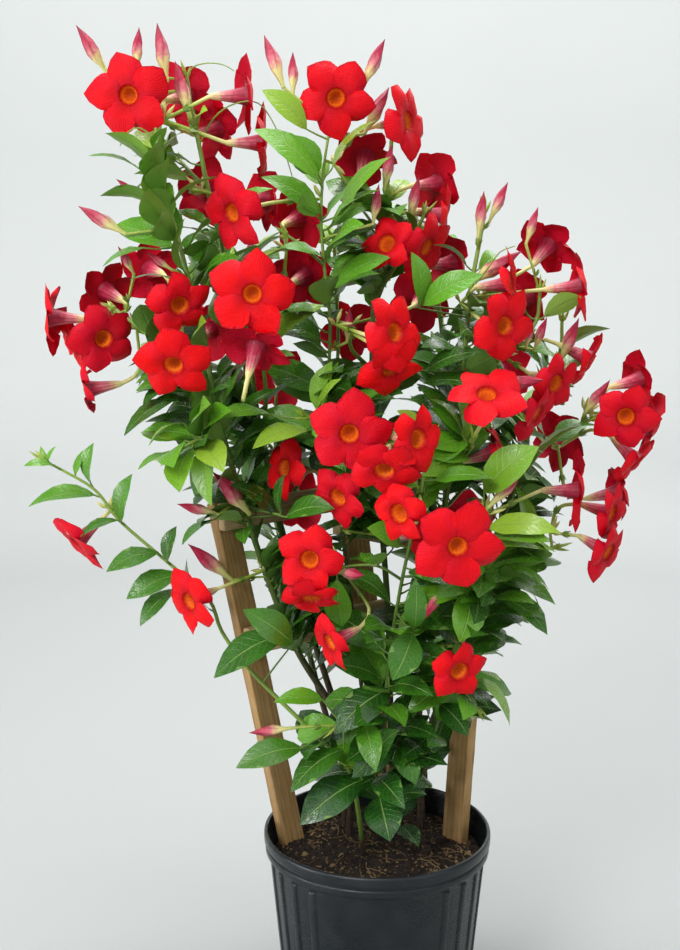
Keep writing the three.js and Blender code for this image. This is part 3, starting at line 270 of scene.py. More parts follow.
# ---- lines
@dataclass
class Line:
    """A polyline in millimetres, with each corner's thickness."""

    points: Array
    radii: Array

    def lengths(self) -> Array:
        """The distance along the line at each corner."""
        steps = np.linalg.norm(np.diff(self.points, axis=0), axis=1)
        return np.concatenate([[0.0], np.cumsum(steps)])

    def spot(self, distance: float) -> tuple[Array, Array]:
        """Finds the point and the direction at a distance along the line.

        Args:
            distance: The distance from the line's first corner.

        Returns:
            The point and the unit tangent.
        """
        run = self.lengths()
        i = int(np.clip(np.searchsorted(run, distance) - 1, 0, len(run) - 2))
        step = self.points[i + 1] - self.points[i]
        share = (distance - run[i]) / max(run[i + 1] - run[i], TINY)
        return self.points[i] + step * np.clip(share, 0, 1), unit(step)

    def nearest(self, target: Array) -> tuple[float, float]:
        """Finds the place on the line that is nearest to a target.

        Args:
            target: The point looked from.

        Returns:
            The gap to it and its distance along the line.
        """
        a, b = self.points[:-1], self.points[1:]
        step = b - a
        size = np.einsum("ij,ij->i", step, step)
        share = np.clip(np.einsum("ij,ij->i", target - a, step) / np.maximum(size, TINY), 0, 1)
        gaps = np.linalg.norm(a + step * share[:, None] - target, axis=1)
        i = int(np.argmin(gaps))
        return float(gaps[i]), float(self.lengths()[i] + share[i] * math.sqrt(size[i]))

    def rounded(self, pitch: float) -> "Line":
        """The same line with its bends rounded.

        Args:
            pitch: The distance between the corners of the new line.

        Returns:
            A line through the same corners.
        """
        p = np.vstack([2 * self.points[0] - self.points[1], self.points, 2 * self.points[-1] - self.points[-2]])
        places, radii = [], []
        for i in range(1, len(p) - 2):
            count = max(1, int(np.linalg.norm(p[i + 1] - p[i]) / pitch))
            for t in np.arange(count) / count:
                bend = 2 * p[i] + (p[i + 1] - p[i - 1]) * t
                bend = bend + (2 * p[i - 1] - 5 * p[i] + 4 * p[i + 1] - p[i + 2]) * t**2
                places.append(0.5 * (bend + (3 * p[i] - p[i - 1] - 3 * p[i + 1] + p[i + 2]) * t**3))
                radii.append(self.radii[i - 1] + (self.radii[i] - self.radii[i - 1]) * t)
        return Line(np.array([*places, self.points[-1]]), np.array([*radii, self.radii[-1]]))


# ---- meshes
@dataclass
class Skin:
    """The corners and faces of a mesh being made, in millimetres, with notes on each corner."""

    points: list[Array] = field(default_factory=list)
    faces: Faces = field(default_factory=list)
    slots: list[int] = field(default_factory=list)
    notes: dict[str, list[Array]] = field(default_factory=dict)
    size: int = 0

    def add(self, points: Array, faces: Faces, slot: int = 0, **notes: Array) -> "Skin":
        """Adds a patch.

        Args:
            points: Its corners.
            faces: Its faces, by the patch's own corners.
            slot: The number of its material.
            **notes: Attributes with one number or one row of three for each corner.

        Returns:
            The skin itself.
        """
        self.points.append(np.asarray(points, float))
        self.faces += [tuple(int(i) + self.size for i in face) for face in faces]
        self.slots += [slot] * len(faces)
        for name, values in notes.items():
            self.notes.setdefault(name, []).append(np.asarray(values, float))
        self.size += len(points)
        return self

    def build(self, name: str, coats: tuple[Coat, ...] = (), sharp: float = 60) -> Piece:
        """Makes the mesh, in metres.

        Args:
            name: The object's name.
            coats: Its materials, in the order of the patches' slots.
            sharp: The angle in degrees past which an edge isn't shaded smooth.

        Returns:
            The object, linked to the scene.
        """
        mesh = bpy.data.meshes.new(name)
        mesh.from_pydata((np.vstack(self.points) * MM).tolist(), [], self.faces)
        for note, rows in self.notes.items():
            write_note(mesh, note, np.concatenate(rows))
        for coat in coats:
            mesh.materials.append(coat)
        mesh.polygons.foreach_set("material_index", self.slots)
        mesh.validate()
        shade(mesh, sharp)
        return linked(name, mesh)


def write_note(mesh: bpy.types.Mesh, name: str, values: Array) -> None:
    """Writes an attribute of a mesh's corners.

    Args:
        mesh: The mesh.
        name: The attribute's name.
        values: A whole number, a number or a row of three for each corner.
    """
    kind, key = ("FLOAT", "value") if values.ndim == 1 else ("FLOAT_VECTOR", "vector")
    if values.dtype.kind == "i":
        kind = "INT"
    mesh.attributes.new(name, kind, "POINT").data.foreach_set(key, values.ravel())


def shaped(
    name: str, points: Array, faces: Faces, sharp: float, coats: tuple[Coat, ...] = (), **notes: Array
) -> Piece:
    """Makes an object of one patch, with notes on its corners, sharp past an angle in degrees."""
    return Skin().add(points, faces, **notes).build(name, coats, sharp)


def shade(mesh: bpy.types.Mesh, sharp: float) -> None:
    """Shades a mesh smooth except at its sharp edges.

    Args:
        mesh: The mesh.
        sharp: The angle in degrees past which an edge is sharp.
    """
    mesh.polygons.foreach_set("use_smooth", [True] * len(mesh.polygons))
    mesh.set_sharp_from_angle(angle=math.radians(sharp))
    mesh.update()


def linked(name: str, data: bpy.types.ID) -> Piece:
    """Makes an object for a mesh, a lamp or a camera, linked to the scene."""
    bpy.context.scene.collection.objects.link(piece := bpy.data.objects.new(name, data))
    return piece


def joined(name: str, parts: list[Piece]) -> Piece:
    """Joins parts into one piece.

    Args:
        name: The piece's name.
        parts: The objects to join. They are used up.

    Returns:
        The piece.
    """
    if len(parts) > 1:
        with bpy.context.temp_override(active_object=parts[0], object=parts[0], selected_editable_objects=parts):
            bpy.ops.object.join()
    parts[0].name = name
    parts[0].data.name = name
    return parts[0]


def finished(piece: Piece, slot: Slot, *nodes: str) -> Piece:
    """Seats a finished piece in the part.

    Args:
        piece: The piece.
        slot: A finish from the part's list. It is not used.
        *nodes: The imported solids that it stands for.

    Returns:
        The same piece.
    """
    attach(piece, "root")
    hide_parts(*nodes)
    LOG.info("%s: %d faces", piece.name, len(piece.data.polygons))
    return piece


def grid_faces(rows: int, columns: int, closed: bool = False, flip: bool = False) -> Faces:
    """The quads of a grid of corners.

    Args:
        rows: How many rows of corners there are.
        columns: How many corners a row has.
        closed: Whether the last column joins the first.
        flip: Whether the faces look the other way.

    Returns:
        The faces.
    """
    faces = []
    for i in range(rows - 1):
        for j in range(columns if closed else columns - 1):
            k = (j + 1) % columns
            quad = (i * columns + j, i * columns + k, (i + 1) * columns + k, (i + 1) * columns + j)
            faces.append(quad[::-1] if flip else quad)
    return faces


def capped(rows: int, columns: int, flip: bool = False) -> Faces:
    """The faces of a closed grid of corners whose first and last rows are capped."""
    caps = [tuple(range(columns))[::-1], tuple(range((rows - 1) * columns, rows * columns))]
    return grid_faces(rows, columns, True, flip) + [cap[::-1] if flip else cap for cap in caps]


def thin_shell(grid: Array, notes: Array, thickness: float) -> tuple[Array, Faces, Array]:
    """Gives a grid of corners a second face, joined to the first along its edge.

    Args:
        grid: Rows of corners, each row across the sheet.
        notes: Two numbers for each of them.
        thickness: The sheet's thickness at its middle.

    Returns:
        The corners, the faces, and each corner's notes and side: 1 in front, -1 behind and 0 on the edge.
    """
    rows, columns, _ = grid.shape
    down, across = np.gradient(grid, axis=0), np.gradient(grid, axis=1)
    out = np.cross(across, down)
    out /= np.maximum(np.linalg.norm(out, axis=2, keepdims=True), TINY)
    inner = np.zeros((rows, columns), bool)
    inner[1:-1, 1:-1] = True
    back = (grid - out * thickness)[inner]
    index = np.arange(rows * columns).reshape(rows, columns)
    behind = index.copy()
    behind[inner] = rows * columns + np.arange(inner.sum())
    front = grid_faces(rows, columns)
    rear = [tuple(int(behind.flat[i]) for i in quad[::-1]) for quad in front]
    side = np.concatenate([inner.ravel().astype(float), -np.ones(len(back))])
    notes = np.vstack([notes.reshape(-1, 2), notes[inner]])
    return np.vstack([grid.reshape(-1, 3), back]), front + rear, np.column_stack([notes, side])


def spun(profile: list[tuple[float, float]], sides: int) -> tuple[Array, Faces]:
    """Turns a profile of radius and height round the Z axis, closed at its ends.

    Args:
        profile: Rows of radius and height, from the bottom up.
        sides: How many corners a ring has.

    Returns:
        The corners and the faces.
    """
    turn = np.arange(sides) * 2 * np.pi / sides
    rings = [np.stack([np.cos(turn) * r, np.sin(turn) * r, np.full(sides, z)], axis=1) for r, z in profile]
    return np.vstack(rings), capped(len(profile), sides)


class Packed:
    """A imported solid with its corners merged, and which corners its edges join."""

    def __init__(self, node: str) -> None:
        """Reads the solid.

        Args:
            node: The node's name.
        """
        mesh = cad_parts[node].data
        places = np.empty(len(mesh.vertices) * 3)
        mesh.vertices.foreach_get("co", places)
        keys, index = np.unique(np.round(places.reshape(-1, 3) * 1e6).astype(int), axis=0, return_inverse=True)
        self.points = keys / 1000.0
        mesh.calc_loop_triangles()
        corners = np.empty(len(mesh.loop_triangles) * 3, int)
        mesh.loop_triangles.foreach_get("vertices", corners)
        self.faces = index.ravel()[corners].reshape(-1, 3)
        self.near: list[set[int]] = [set() for _ in self.points]
        for face in self.faces:
            for i in face:
                self.near[i].update(int(j) for j in face if j != i)

    def gap(self, i: int, j: int) -> float:
        """The distance between two corners."""
        return size_of(self.points[i] - self.points[j])

    def rings_from(self, tip: int, narrow: float) -> list[list[int]]:
        """Follows the rings of corners that lead back from a tip.

        Args:
            tip: The tip's corner.
            narrow: The longest edge of the ring at which it stops.

        Returns:
            The rings, from the tip back.
        """
        rings, known = [sorted(self.near[tip])], {tip, *self.near[tip]}
        while True:
            ring = rings[-1]
            if max(self.gap(i, j) for i in ring for j in ring) < narrow:
                return rings
            beyond = set().union(*(self.near[i] for i in ring)) - known
            if len(beyond) != len(ring):
                return rings
            rings.append(sorted(beyond))
            known |= beyond


# ---- node trees
Feed = Socket | float | int | tuple | str
Inputs = dict[str | int, Feed]


class Tree:
    """Adds nodes to a node tree and joins them."""

    def __init__(self, tree: Nodes, material: Coat | None = None) -> None:
        """Starts with an existing tree, and the material that it belongs to."""
        self.tree, self.material = tree, material

    def feed(self, socket: Socket, value: Feed) -> None:
        """Links a socket to another socket, or sets its value.

        Args:
            socket: The socket.
            value: The other socket, or the value.
        """
        if isinstance(value, Socket):
            self.tree.links.new(value, socket)
        else:
            socket.default_value = value

    def add(self, kind: str, inputs: Inputs | None = None, **settings: object) -> bpy.types.Node:
        """Adds a node.

        Args:
            kind: The node's type.
            inputs: What goes into its sockets, by their names or numbers.
            **settings: Its other settings.

        Returns:
            The node.
        """
        node = self.tree.nodes.new(kind)
        for name, value in settings.items():
            setattr(node, name, value)
        for name, value in (inputs or {}).items():
            self.feed(node.inputs[name], value)
        return node

    def out(self, kind: str, inputs: Inputs | None = None, **settings: object) -> Socket:
        """Adds a node and gives its first output."""
        return self.add(kind, inputs, **settings).outputs[0]

    def math(self, operation: str, a: Feed, b: Feed = 0.0, c: Feed = 0.0) -> Socket:
        """A Math node's result."""
        return self.out("ShaderNodeMath", {0: a, 1: b, 2: c}, operation=operation)

    def times(self, a: Feed, b: Feed, more: Feed | None = None) -> Socket:
        """The product of two values, and a third added to it where there is one."""
        return self.math("MULTIPLY", a, b) if more is None else self.math("MULTIPLY_ADD", a, b, more)

    def step(self, value: Feed, low: float, high: float) -> Socket:
        """A smooth step from 0 at low to 1 at high."""
        inputs = {0: value, 1: low, 2: high, 3: 0.0, 4: 1.0}
        return self.out("ShaderNodeMapRange", inputs, interpolation_type="SMOOTHSTEP")

    def fit(self, value: Feed, low: float, high: float) -> Socket:
        """A value from 0 to 1, fitted between two others."""
        return self.out("ShaderNodeMapRange", {0: value, 1: 0.0, 2: 1.0, 3: low, 4: high})

    def mix(self, share: Feed, a: Feed, b: Feed) -> Socket:
        """A mix of two colours."""
        inputs = {0: share, 6: a, 7: b}
        return self.add("ShaderNodeMix", inputs, data_type="RGBA", blend_type="MIX").outputs[2]

    def ramp(self, value: Feed, stops: tuple[tuple[float, Colour], ...]) -> Socket:
        """Colours along a value.

        Args:
            value: The value, from 0 to 1.
            stops: Places along it, each with its colour.

        Returns:
            The colour.
        """
        node = self.add("ShaderNodeValToRGB", {0: value})
        elements = node.color_ramp.elements
        for i, (place, colour) in enumerate(stops):
            stop = elements[i] if i < 2 else elements.new(place)
            stop.position, stop.color = place, colour
        return node.outputs[0]

    def note(self, name: str, part: str = "Fac") -> Socket:
        """What a note on the mesh says, as a number, or as a Vector."""
        return self.add("ShaderNodeAttribute", attribute_name=name).outputs[part]

    def place(self) -> Socket:
        """The place on the object, in metres."""
        return self.add("ShaderNodeTexCoord").outputs["Object"]

    def drawn(self, place: Feed, scale: Place) -> Socket:
        """Places drawn out along their axes."""
        return self.out("ShaderNodeMapping", {"Vector": place, "Scale": scale})

    def noise(self, place: Feed, scale: Feed, detail: float) -> Socket:
        """Noise over places."""
        return self.out("ShaderNodeTexNoise", {"Vector": place, "Scale": scale, "Detail": detail})

    def split(self, vector: Feed) -> tuple[Socket, ...]:
        """A vector's three parts."""
        return tuple(self.add("ShaderNodeSeparateXYZ", {0: vector}).outputs)

    def group(self, group: Nodes, **inputs: Feed) -> tuple[Socket, ...]:
        """Places a node group, and gives what comes out of it."""
        return tuple(self.add("ShaderNodeGroup", inputs, node_tree=group).outputs)

    def bump(self, height: Feed, strength: float, depth: float) -> Socket:
        """A normal from a height, with the relief's depth in metres."""
        return self.out("ShaderNodeBump", {"Strength": strength, "Distance": depth, "Height": height})

    def surface(self, **inputs: Feed) -> Coat:
        """Ends a material with a Principled shader.

        Args:
            **inputs: What goes into it. An underline in a name stands for a space.

        Returns:
            The material.
        """
        shader = self.out("ShaderNodeBsdfPrincipled", {name.replace("_", " "): v for name, v in inputs.items()})
        self.add("ShaderNodeOutputMaterial", {"Surface": shader})
        return self.material

    def read(self, name: str, kind: str) -> Socket:
        """A named attribute, in a geometry tree."""
        return self.out("GeometryNodeInputNamedAttribute", {"Name": name}, data_type=kind)

    def picked(self, shapes: Feed) -> Socket:
        """A collection's shapes one by one, in a geometry tree."""
        inputs = {"Collection": shapes, "Separate Children": True, "Reset Children": True}
        return self.out("GeometryNodeCollectionInfo", inputs)

    def ended(self, result: Socket, value: Feed) -> Nodes:
        """The tree itself, once its result is fed."""
        self.feed(result, value)
        return self.tree

    def dressed(self, result: Socket, shape: Feed, coat: Feed) -> Nodes:
        """The tree itself, once its shapes are made real and take their material."""
        whole = self.out("GeometryNodeRealizeInstances", {0: shape})
        return self.ended(result, self.out("GeometryNodeSetMaterial", {0: whole, "Material": coat}))


def new_group(
    name: str, kind: str, inputs: dict[str, str], outputs: dict[str, str]
) -> tuple[Tree, Sockets, Sockets]:
    """Starts a node group with named sockets.

    Args:
        name: The group's name.
        kind: The kind of its tree.
        inputs: Its inputs' names, each with its kind of socket.
        outputs: Its outputs' names, each with its kind of socket.

    Returns:
        The tree, what it is given and what it results in.
    """
    group = bpy.data.node_groups.new(name, kind + "NodeTree")
    for way, sockets in (("INPUT", inputs), ("OUTPUT", outputs)):
        for label, socket in sockets.items():
            group.interface.new_socket(label, in_out=way, socket_type="NodeSocket" + socket)
    return Tree(group), group.nodes.new("NodeGroupInput").outputs, group.nodes.new("NodeGroupOutput").inputs


def tube_tree() -> Nodes:
    """Makes the tree that grows a round tube along each path of edges, as thick as its "thickness".

    Returns:
        The tree.
    """
    inputs = {"Path": "Geometry", "Sides": "Int", "Material": "Material"}
    tree, given, result = new_group("tube along a path", "Geometry", inputs, {"Tube": "Geometry"})
    thickness = tree.read("thickness", "FLOAT")
    line = tree.out("GeometryNodeMeshToCurve", {"Mesh": given["Path"]})
    line = tree.out("GeometryNodeSetCurveRadius", {"Curve": line, "Radius": thickness})
    ring = tree.out("GeometryNodeCurvePrimitiveCircle", {"Resolution": given["Sides"], "Radius": 1.0})
    sweep = tree.add("GeometryNodeCurveToMesh", {"Curve": line, "Profile Curve": ring, "Fill Caps": True})
    if "Scale" in sweep.inputs:
        tree.feed(sweep.inputs["Scale"], thickness)
    return tree.dressed(result[0], sweep.outputs[0], given["Material"])


def scatter_tree() -> Nodes:
    """Makes the tree that sets one of several shapes at each corner, by its "turn", "stretch" and "kind".

    Returns:
        The tree.
    """
    inputs = {"Places": "Geometry", "Shapes": "Collection", "Material": "Material"}
    tree, given, result = new_group("shape at each corner", "Geometry", inputs, {"Set": "Geometry"})
    shapes = tree.picked(given["Shapes"])
    turn = tree.out("FunctionNodeEulerToRotation", {0: tree.read("turn", "FLOAT_VECTOR")})
    placed = tree.out("GeometryNodeInstanceOnPoints", {
        "Points": given["Places"], "Instance": shapes, "Pick Instance": True,
        "Instance Index": tree.read("kind", "INT"), "Rotation": turn, "Scale": tree.read("stretch", "FLOAT_VECTOR"),
    })
    return tree.dressed(result[0], placed, given["Material"])


def strewn_tree() -> Nodes:
    """Makes the tree that strews shapes over a surface, with random turns and sizes.

    Returns:
        The tree.
    """
    inputs = {
        "Surface": "Geometry", "Shapes": "Collection", "Density": "Float", "Smallest": "Float", "Largest": "Float",
        "Seed": "Int", "Material": "Material",
    }
    tree, given, result = new_group("strewn crumbs", "Geometry", inputs, {"Set": "Geometry"})
    seed, kind_seed, tint_seed = given["Seed"], 7, 11
    inputs = {"Mesh": given["Surface"], "Density": given["Density"], "Seed": seed}
    spots = tree.out("GeometryNodeDistributePointsOnFaces", inputs)
    round_it = {0: (0.0, 0.0, 0.0), 1: (math.tau, math.tau, math.tau), "Seed": seed}
    turn = tree.out("FunctionNodeRandomValue", round_it, data_type="FLOAT_VECTOR")
    inputs = {2: given["Smallest"], 3: given["Largest"], "Seed": seed}
    size = tree.add("FunctionNodeRandomValue", inputs, data_type="FLOAT").outputs[1]
    shapes = tree.picked(given["Shapes"])
    kind = tree.add("FunctionNodeRandomValue", {4: 0, 5: 3, "Seed": kind_seed}, data_type="INT").outputs[2]
    placed = tree.out("GeometryNodeInstanceOnPoints", {
        "Points": spots, "Instance": shapes, "Pick Instance": True, "Instance Index": kind, "Rotation": turn,
        "Scale": size,
    })
    tint = tree.add("FunctionNodeRandomValue", {2: 0.0, 3: 1.0, "Seed": tint_seed}, data_type="FLOAT").outputs[1]
    inputs = {"Geometry": placed, "Name": "tint", "Value": tint}
    tinted = tree.out("GeometryNodeStoreNamedAttribute", inputs, data_type="FLOAT", domain="INSTANCE")
    return tree.dressed(result[0], tinted, given["Material"])


def grown(piece: Piece, tree: Nodes, inputs: dict[str, object]) -> Piece:
    """Runs a geometry tree on an object and keeps what it makes as a plain mesh.

    Args:
        piece: The object, which is used up.
        tree: The tree.
        inputs: The tree's inputs, by name.

    Returns:
        The object with its new mesh.
    """
    modifier = piece.modifiers.new(tree.name, "NODES")
    modifier.node_group = tree
    for item in tree.interface.items_tree:
        if item.item_type == "SOCKET" and item.in_out == "INPUT" and item.name in inputs:
            modifier[item.identifier] = inputs[item.name]
    return applied(piece)


def applied(piece: Piece) -> Piece:
    """Keeps what an object's modifiers make as a plain mesh.

    Args:
        piece: The object.

    Returns:
        The object with no modifiers.
    """
    graph = bpy.context.evaluated_depsgraph_get()
    whole = piece.evaluated_get(graph)
    mesh = bpy.data.meshes.new_from_object(whole, preserve_all_data_layers=True, depsgraph=graph)
    piece.modifiers.clear()
    piece.data = mesh
    return piece


@dataclass
class Paths:
    """Lines that tubes grow along, with each corner's age from new growth (0) to old (1) and its tint."""

    lines: list[tuple[Line, Array, float]] = field(default_factory=list)

    def add(self, line: Line, ages: Array, tint: float = 0.5) -> None:
        """Adds a line with its corners' ages and its tint."""
        self.lines.append((line, ages, tint))

    def grow(self, name: str, tree: Nodes, sides: int, material: Coat) -> Piece:
        """Grows the tubes.

        Args:
            name: The object's name.
            tree: The tube tree.
            sides: How many sides a tube has.
            material: The tubes' material.

        Returns:
            One object with every tube.
        """
        mesh = bpy.data.meshes.new(name)
        edges, size = [], 0
        for line, _, _ in self.lines:
            edges += [(size + i, size + i + 1) for i in range(len(line.points) - 1)]
            size += len(line.points)
        mesh.from_pydata((np.vstack([line.points for line, _, _ in self.lines]) * MM).tolist(), edges, [])
        write_note(mesh, "thickness", np.concatenate([line.radii for line, _, _ in self.lines]) * MM)
        write_note(mesh, "age", np.concatenate([ages for _, ages, _ in self.lines]))
        write_note(mesh, "tint", np.concatenate([np.full(len(line.points), tint) for line, _, tint in self.lines]))
        piece = grown(linked(name, mesh), tree, {"Sides": sides, "Material": material})
        shade(piece.data, 70)
        return piece


@dataclass
class Places:
    """Places where small shapes are set, each with its frame, its stretch, its kind, its tint and its age."""

    rows: list[tuple[Array, tuple, tuple, int, float, float]] = field(default_factory=list)

    def add(
        self, place: Array, axes: tuple[Array, ...], stretch: Place,
        kind: int = 0, tint: float = 0.5, age: float = 0.5,
    ) -> None:
        """Adds a place, with the shape's own X, Y and Z directions and its size along each of them."""
        turn = tuple(Matrix(tuple(tuple(axis) for axis in axes)).transposed().to_euler())
        self.rows.append((place * MM, turn, tuple(s * MM for s in stretch), kind, tint, age))

    def grow(self, name: str, tree: Nodes, shapes: Shapes, material: Coat) -> Piece:
        """Sets the shapes.

        Args:
            name: The object's name.
            tree: The scatter tree.
            shapes: The shapes to choose from.
            material: Their material.

        Returns:
            One object with every shape.
        """
        mesh = bpy.data.meshes.new(name)
        mesh.from_pydata([tuple(row[0]) for row in self.rows], [], [])
        for k, note in enumerate(("turn", "stretch", "kind", "tint", "age"), 1):
            write_note(mesh, note, np.array([row[k] for row in self.rows]))
        piece = grown(linked(name, mesh), tree, {"Shapes": shapes, "Material": material})
        shade(piece.data, 60)
        return piece


def shapes_of(name: str, shapes: list[Piece]) -> Shapes:
    """Moves shapes out of the scene and into a collection that trees pick from.

    Args:
        name: The collection's name.
        shapes: The shapes.

    Returns:
        The collection.
    """
    kept = bpy.data.collections.new(name)
    for i, shape in enumerate(shapes):
        bpy.context.scene.collection.objects.unlink(shape)
        shape.name = f"{name}_{i}"
        kept.objects.link(shape)
    return kept


# ---- shared effects
class Effects:
    """The node groups that several finishes share."""

    def __init__(self) -> None:
        """Builds every group once."""
        self.mottle = self._mottle()
        self.ribbing = self._ribbing()
        self.settled = self._settled()

    @staticmethod
    def _mottle() -> Nodes:
        """Makes soft uneven patches in two sizes.

        Returns:
            A group with a coarse and a fine mask.
        """
        inputs, outputs = {"Scale": "Float", "Grain": "Float"}, {"Patches": "Float", "Fine": "Float"}
        tree, given, result = new_group("mottle", "Shader", inputs, outputs)
        place = tree.place()
        for i, (scale, detail) in enumerate((("Scale", 3.0), ("Grain", 2.0))):
            tree.feed(result[i], tree.step(tree.noise(place, given[scale], detail), 0.3, 0.7))
        return tree.tree

    @staticmethod
    def _ribbing() -> Nodes:
        """Makes veins or streaks that repeat along a value.

        Returns:
            A group with a mask that is 1 on each vein.
        """
        inputs = {"Along": "Float", "Count": "Float", "Fineness": "Float"}
        tree, given, result = new_group("veins", "Shader", inputs, {"Vein": "Float"})
        run = tree.math("FRACT", tree.times(given["Along"], given["Count"]))
        peak = tree.math("ABSOLUTE", tree.times(run, 2.0, -1.0))
        return tree.ended(result[0], tree.math("POWER", peak, given["Fineness"]))

    @staticmethod
    def _settled() -> Nodes:
        """Makes a mask of dust that settles in patches on what faces up.

        Returns:
            The group.
        """
        inputs = {"Scale": "Float", "Amount": "Float"}
        tree, given, result = new_group("settled dust", "Shader", inputs, {"Dust": "Float"})
        noise = tree.noise(tree.place(), given["Scale"], 5.0)
        upward = tree.split(tree.add("ShaderNodeNewGeometry").outputs["Normal"])[2]
        patch = tree.times(tree.step(noise, 0.4, 0.72), tree.fit(upward, 0.45, 1.0))
        return tree.ended(result[0], tree.times(patch, given["Amount"]))


def new_material(name: str, shown: Colour) -> Tree:
    """Starts a material with an empty tree.

    Args:
        name: The material's name.
        shown: Its colour in plain views.

    Returns:
        The tree.
    """
    material = bpy.data.materials.new(name)
    material.use_nodes = True
    material.node_tree.nodes.clear()
    material.diffuse_color = shown
    return Tree(material.node_tree, material)


# ---- finishes
@dataclass(frozen=True)
class LeafFinish:
    """A glossy leaf with a pale midrib, side veins and a paler underside, brightened further as painted light
    shining through the leaf.
    """

    dark: Colour = paint("06260a")
    grown: Colour = paint("2b6a18")
    bright: Colour = paint("5e9c20")
    young: Colour = paint("90b434")
    # under: the underside's own paler green, made brighter still as painted light shining through the leaf
    under: Colour = paint("82a850")
    rib: Colour = paint("a8cc6c")
    veins: float = 9.0

    def make(self, effects: Effects) -> Coat:
        """Makes the material from the "blade", "tint" and "age" notes.

        Args:
            effects: The shared groups.

        Returns:
            The material.
        """
        tree = new_material("leaf", self.grown)
        across, along, side = tree.split(tree.note("blade", "Vector"))
        wide = tree.math("ABSOLUTE", across)
        vein_place = tree.times(wide, -0.2, along)
        veins = tree.group(effects.ribbing, Along=vein_place, Count=self.veins, Fineness=9.0)[0]
        veins = tree.times(veins, tree.step(wide, 1.0, 0.75))
        midrib = tree.step(wide, 0.065, 0.02)
        patches, fine = tree.group(effects.mottle, Scale=55.0, Grain=420.0)
        tone = tree.times(patches, 0.35, tree.times(tree.note("tint"), 0.65))
        colour = tree.mix(tone, self.dark, self.grown)
        age = tree.note("age")
        colour = tree.mix(tree.step(age, 1.0, 0.6), colour, self.bright)
        colour = tree.mix(tree.step(age, 0.6, 0.0), colour, self.young)
        colour = tree.mix(tree.times(veins, 0.1), colour, self.rib)
        colour = tree.mix(tree.times(midrib, 0.4), colour, self.rib)
        # paler underside: partly the leaf's own colour, partly painted light shining through the blade
        colour = tree.mix(tree.times(tree.step(side, 0.0, -0.2), 0.6), colour, self.under)
        swell = tree.math("SUBTRACT", tree.times(veins, -0.22), tree.times(midrib, 1.2))
        height = tree.times(fine, 0.12, swell)
        return tree.surface(
            Base_Color=colour,
            Roughness=tree.fit(tree.math("MAXIMUM", fine, tree.step(side, 0.0, -0.2)), 0.2, 0.4),
            Normal=tree.bump(height, 0.7, 0.0013),
            Specular_IOR_Level=0.52,
        )


@dataclass(frozen=True)
class StemFinish:
    """Stems that are smooth and green where they are new, and brown and corky where they are old."""

    new: Colour = paint("8aa545")
    green: Colour = paint("52742a")
    bark: Colour = paint("4d3a24")
    crack: Colour = paint("241a10")

    def make(self, effects: Effects) -> Coat:
        """Makes the material from the "age" note.

        Args:
            effects: The shared groups.

        Returns:
            The material.
        """
        tree = new_material("stem", self.green)
        age = tree.note("age")
        patches = tree.group(effects.mottle, Scale=180.0, Grain=650.0)[0]
        cork = tree.noise(tree.drawn(tree.place(), (1.0, 1.0, 0.16)), 620.0, 4.0)
        old = tree.step(age, 0.5, 0.85)
        colour = tree.mix(tree.step(age, 0.02, 0.45), self.new, self.green)
        colour = tree.mix(tree.times(patches, 0.25), colour, self.new)
        bark = tree.mix(tree.step(cork, 0.4, 0.62), self.crack, self.bark)
        colour = tree.mix(old, colour, bark)
        height = tree.times(cork, tree.fit(old, 0.12, 1.0))
        return tree.surface(
            Base_Color=colour, Roughness=tree.fit(old, 0.42, 0.85), Normal=tree.bump(height, 0.7, 0.0012)
        )


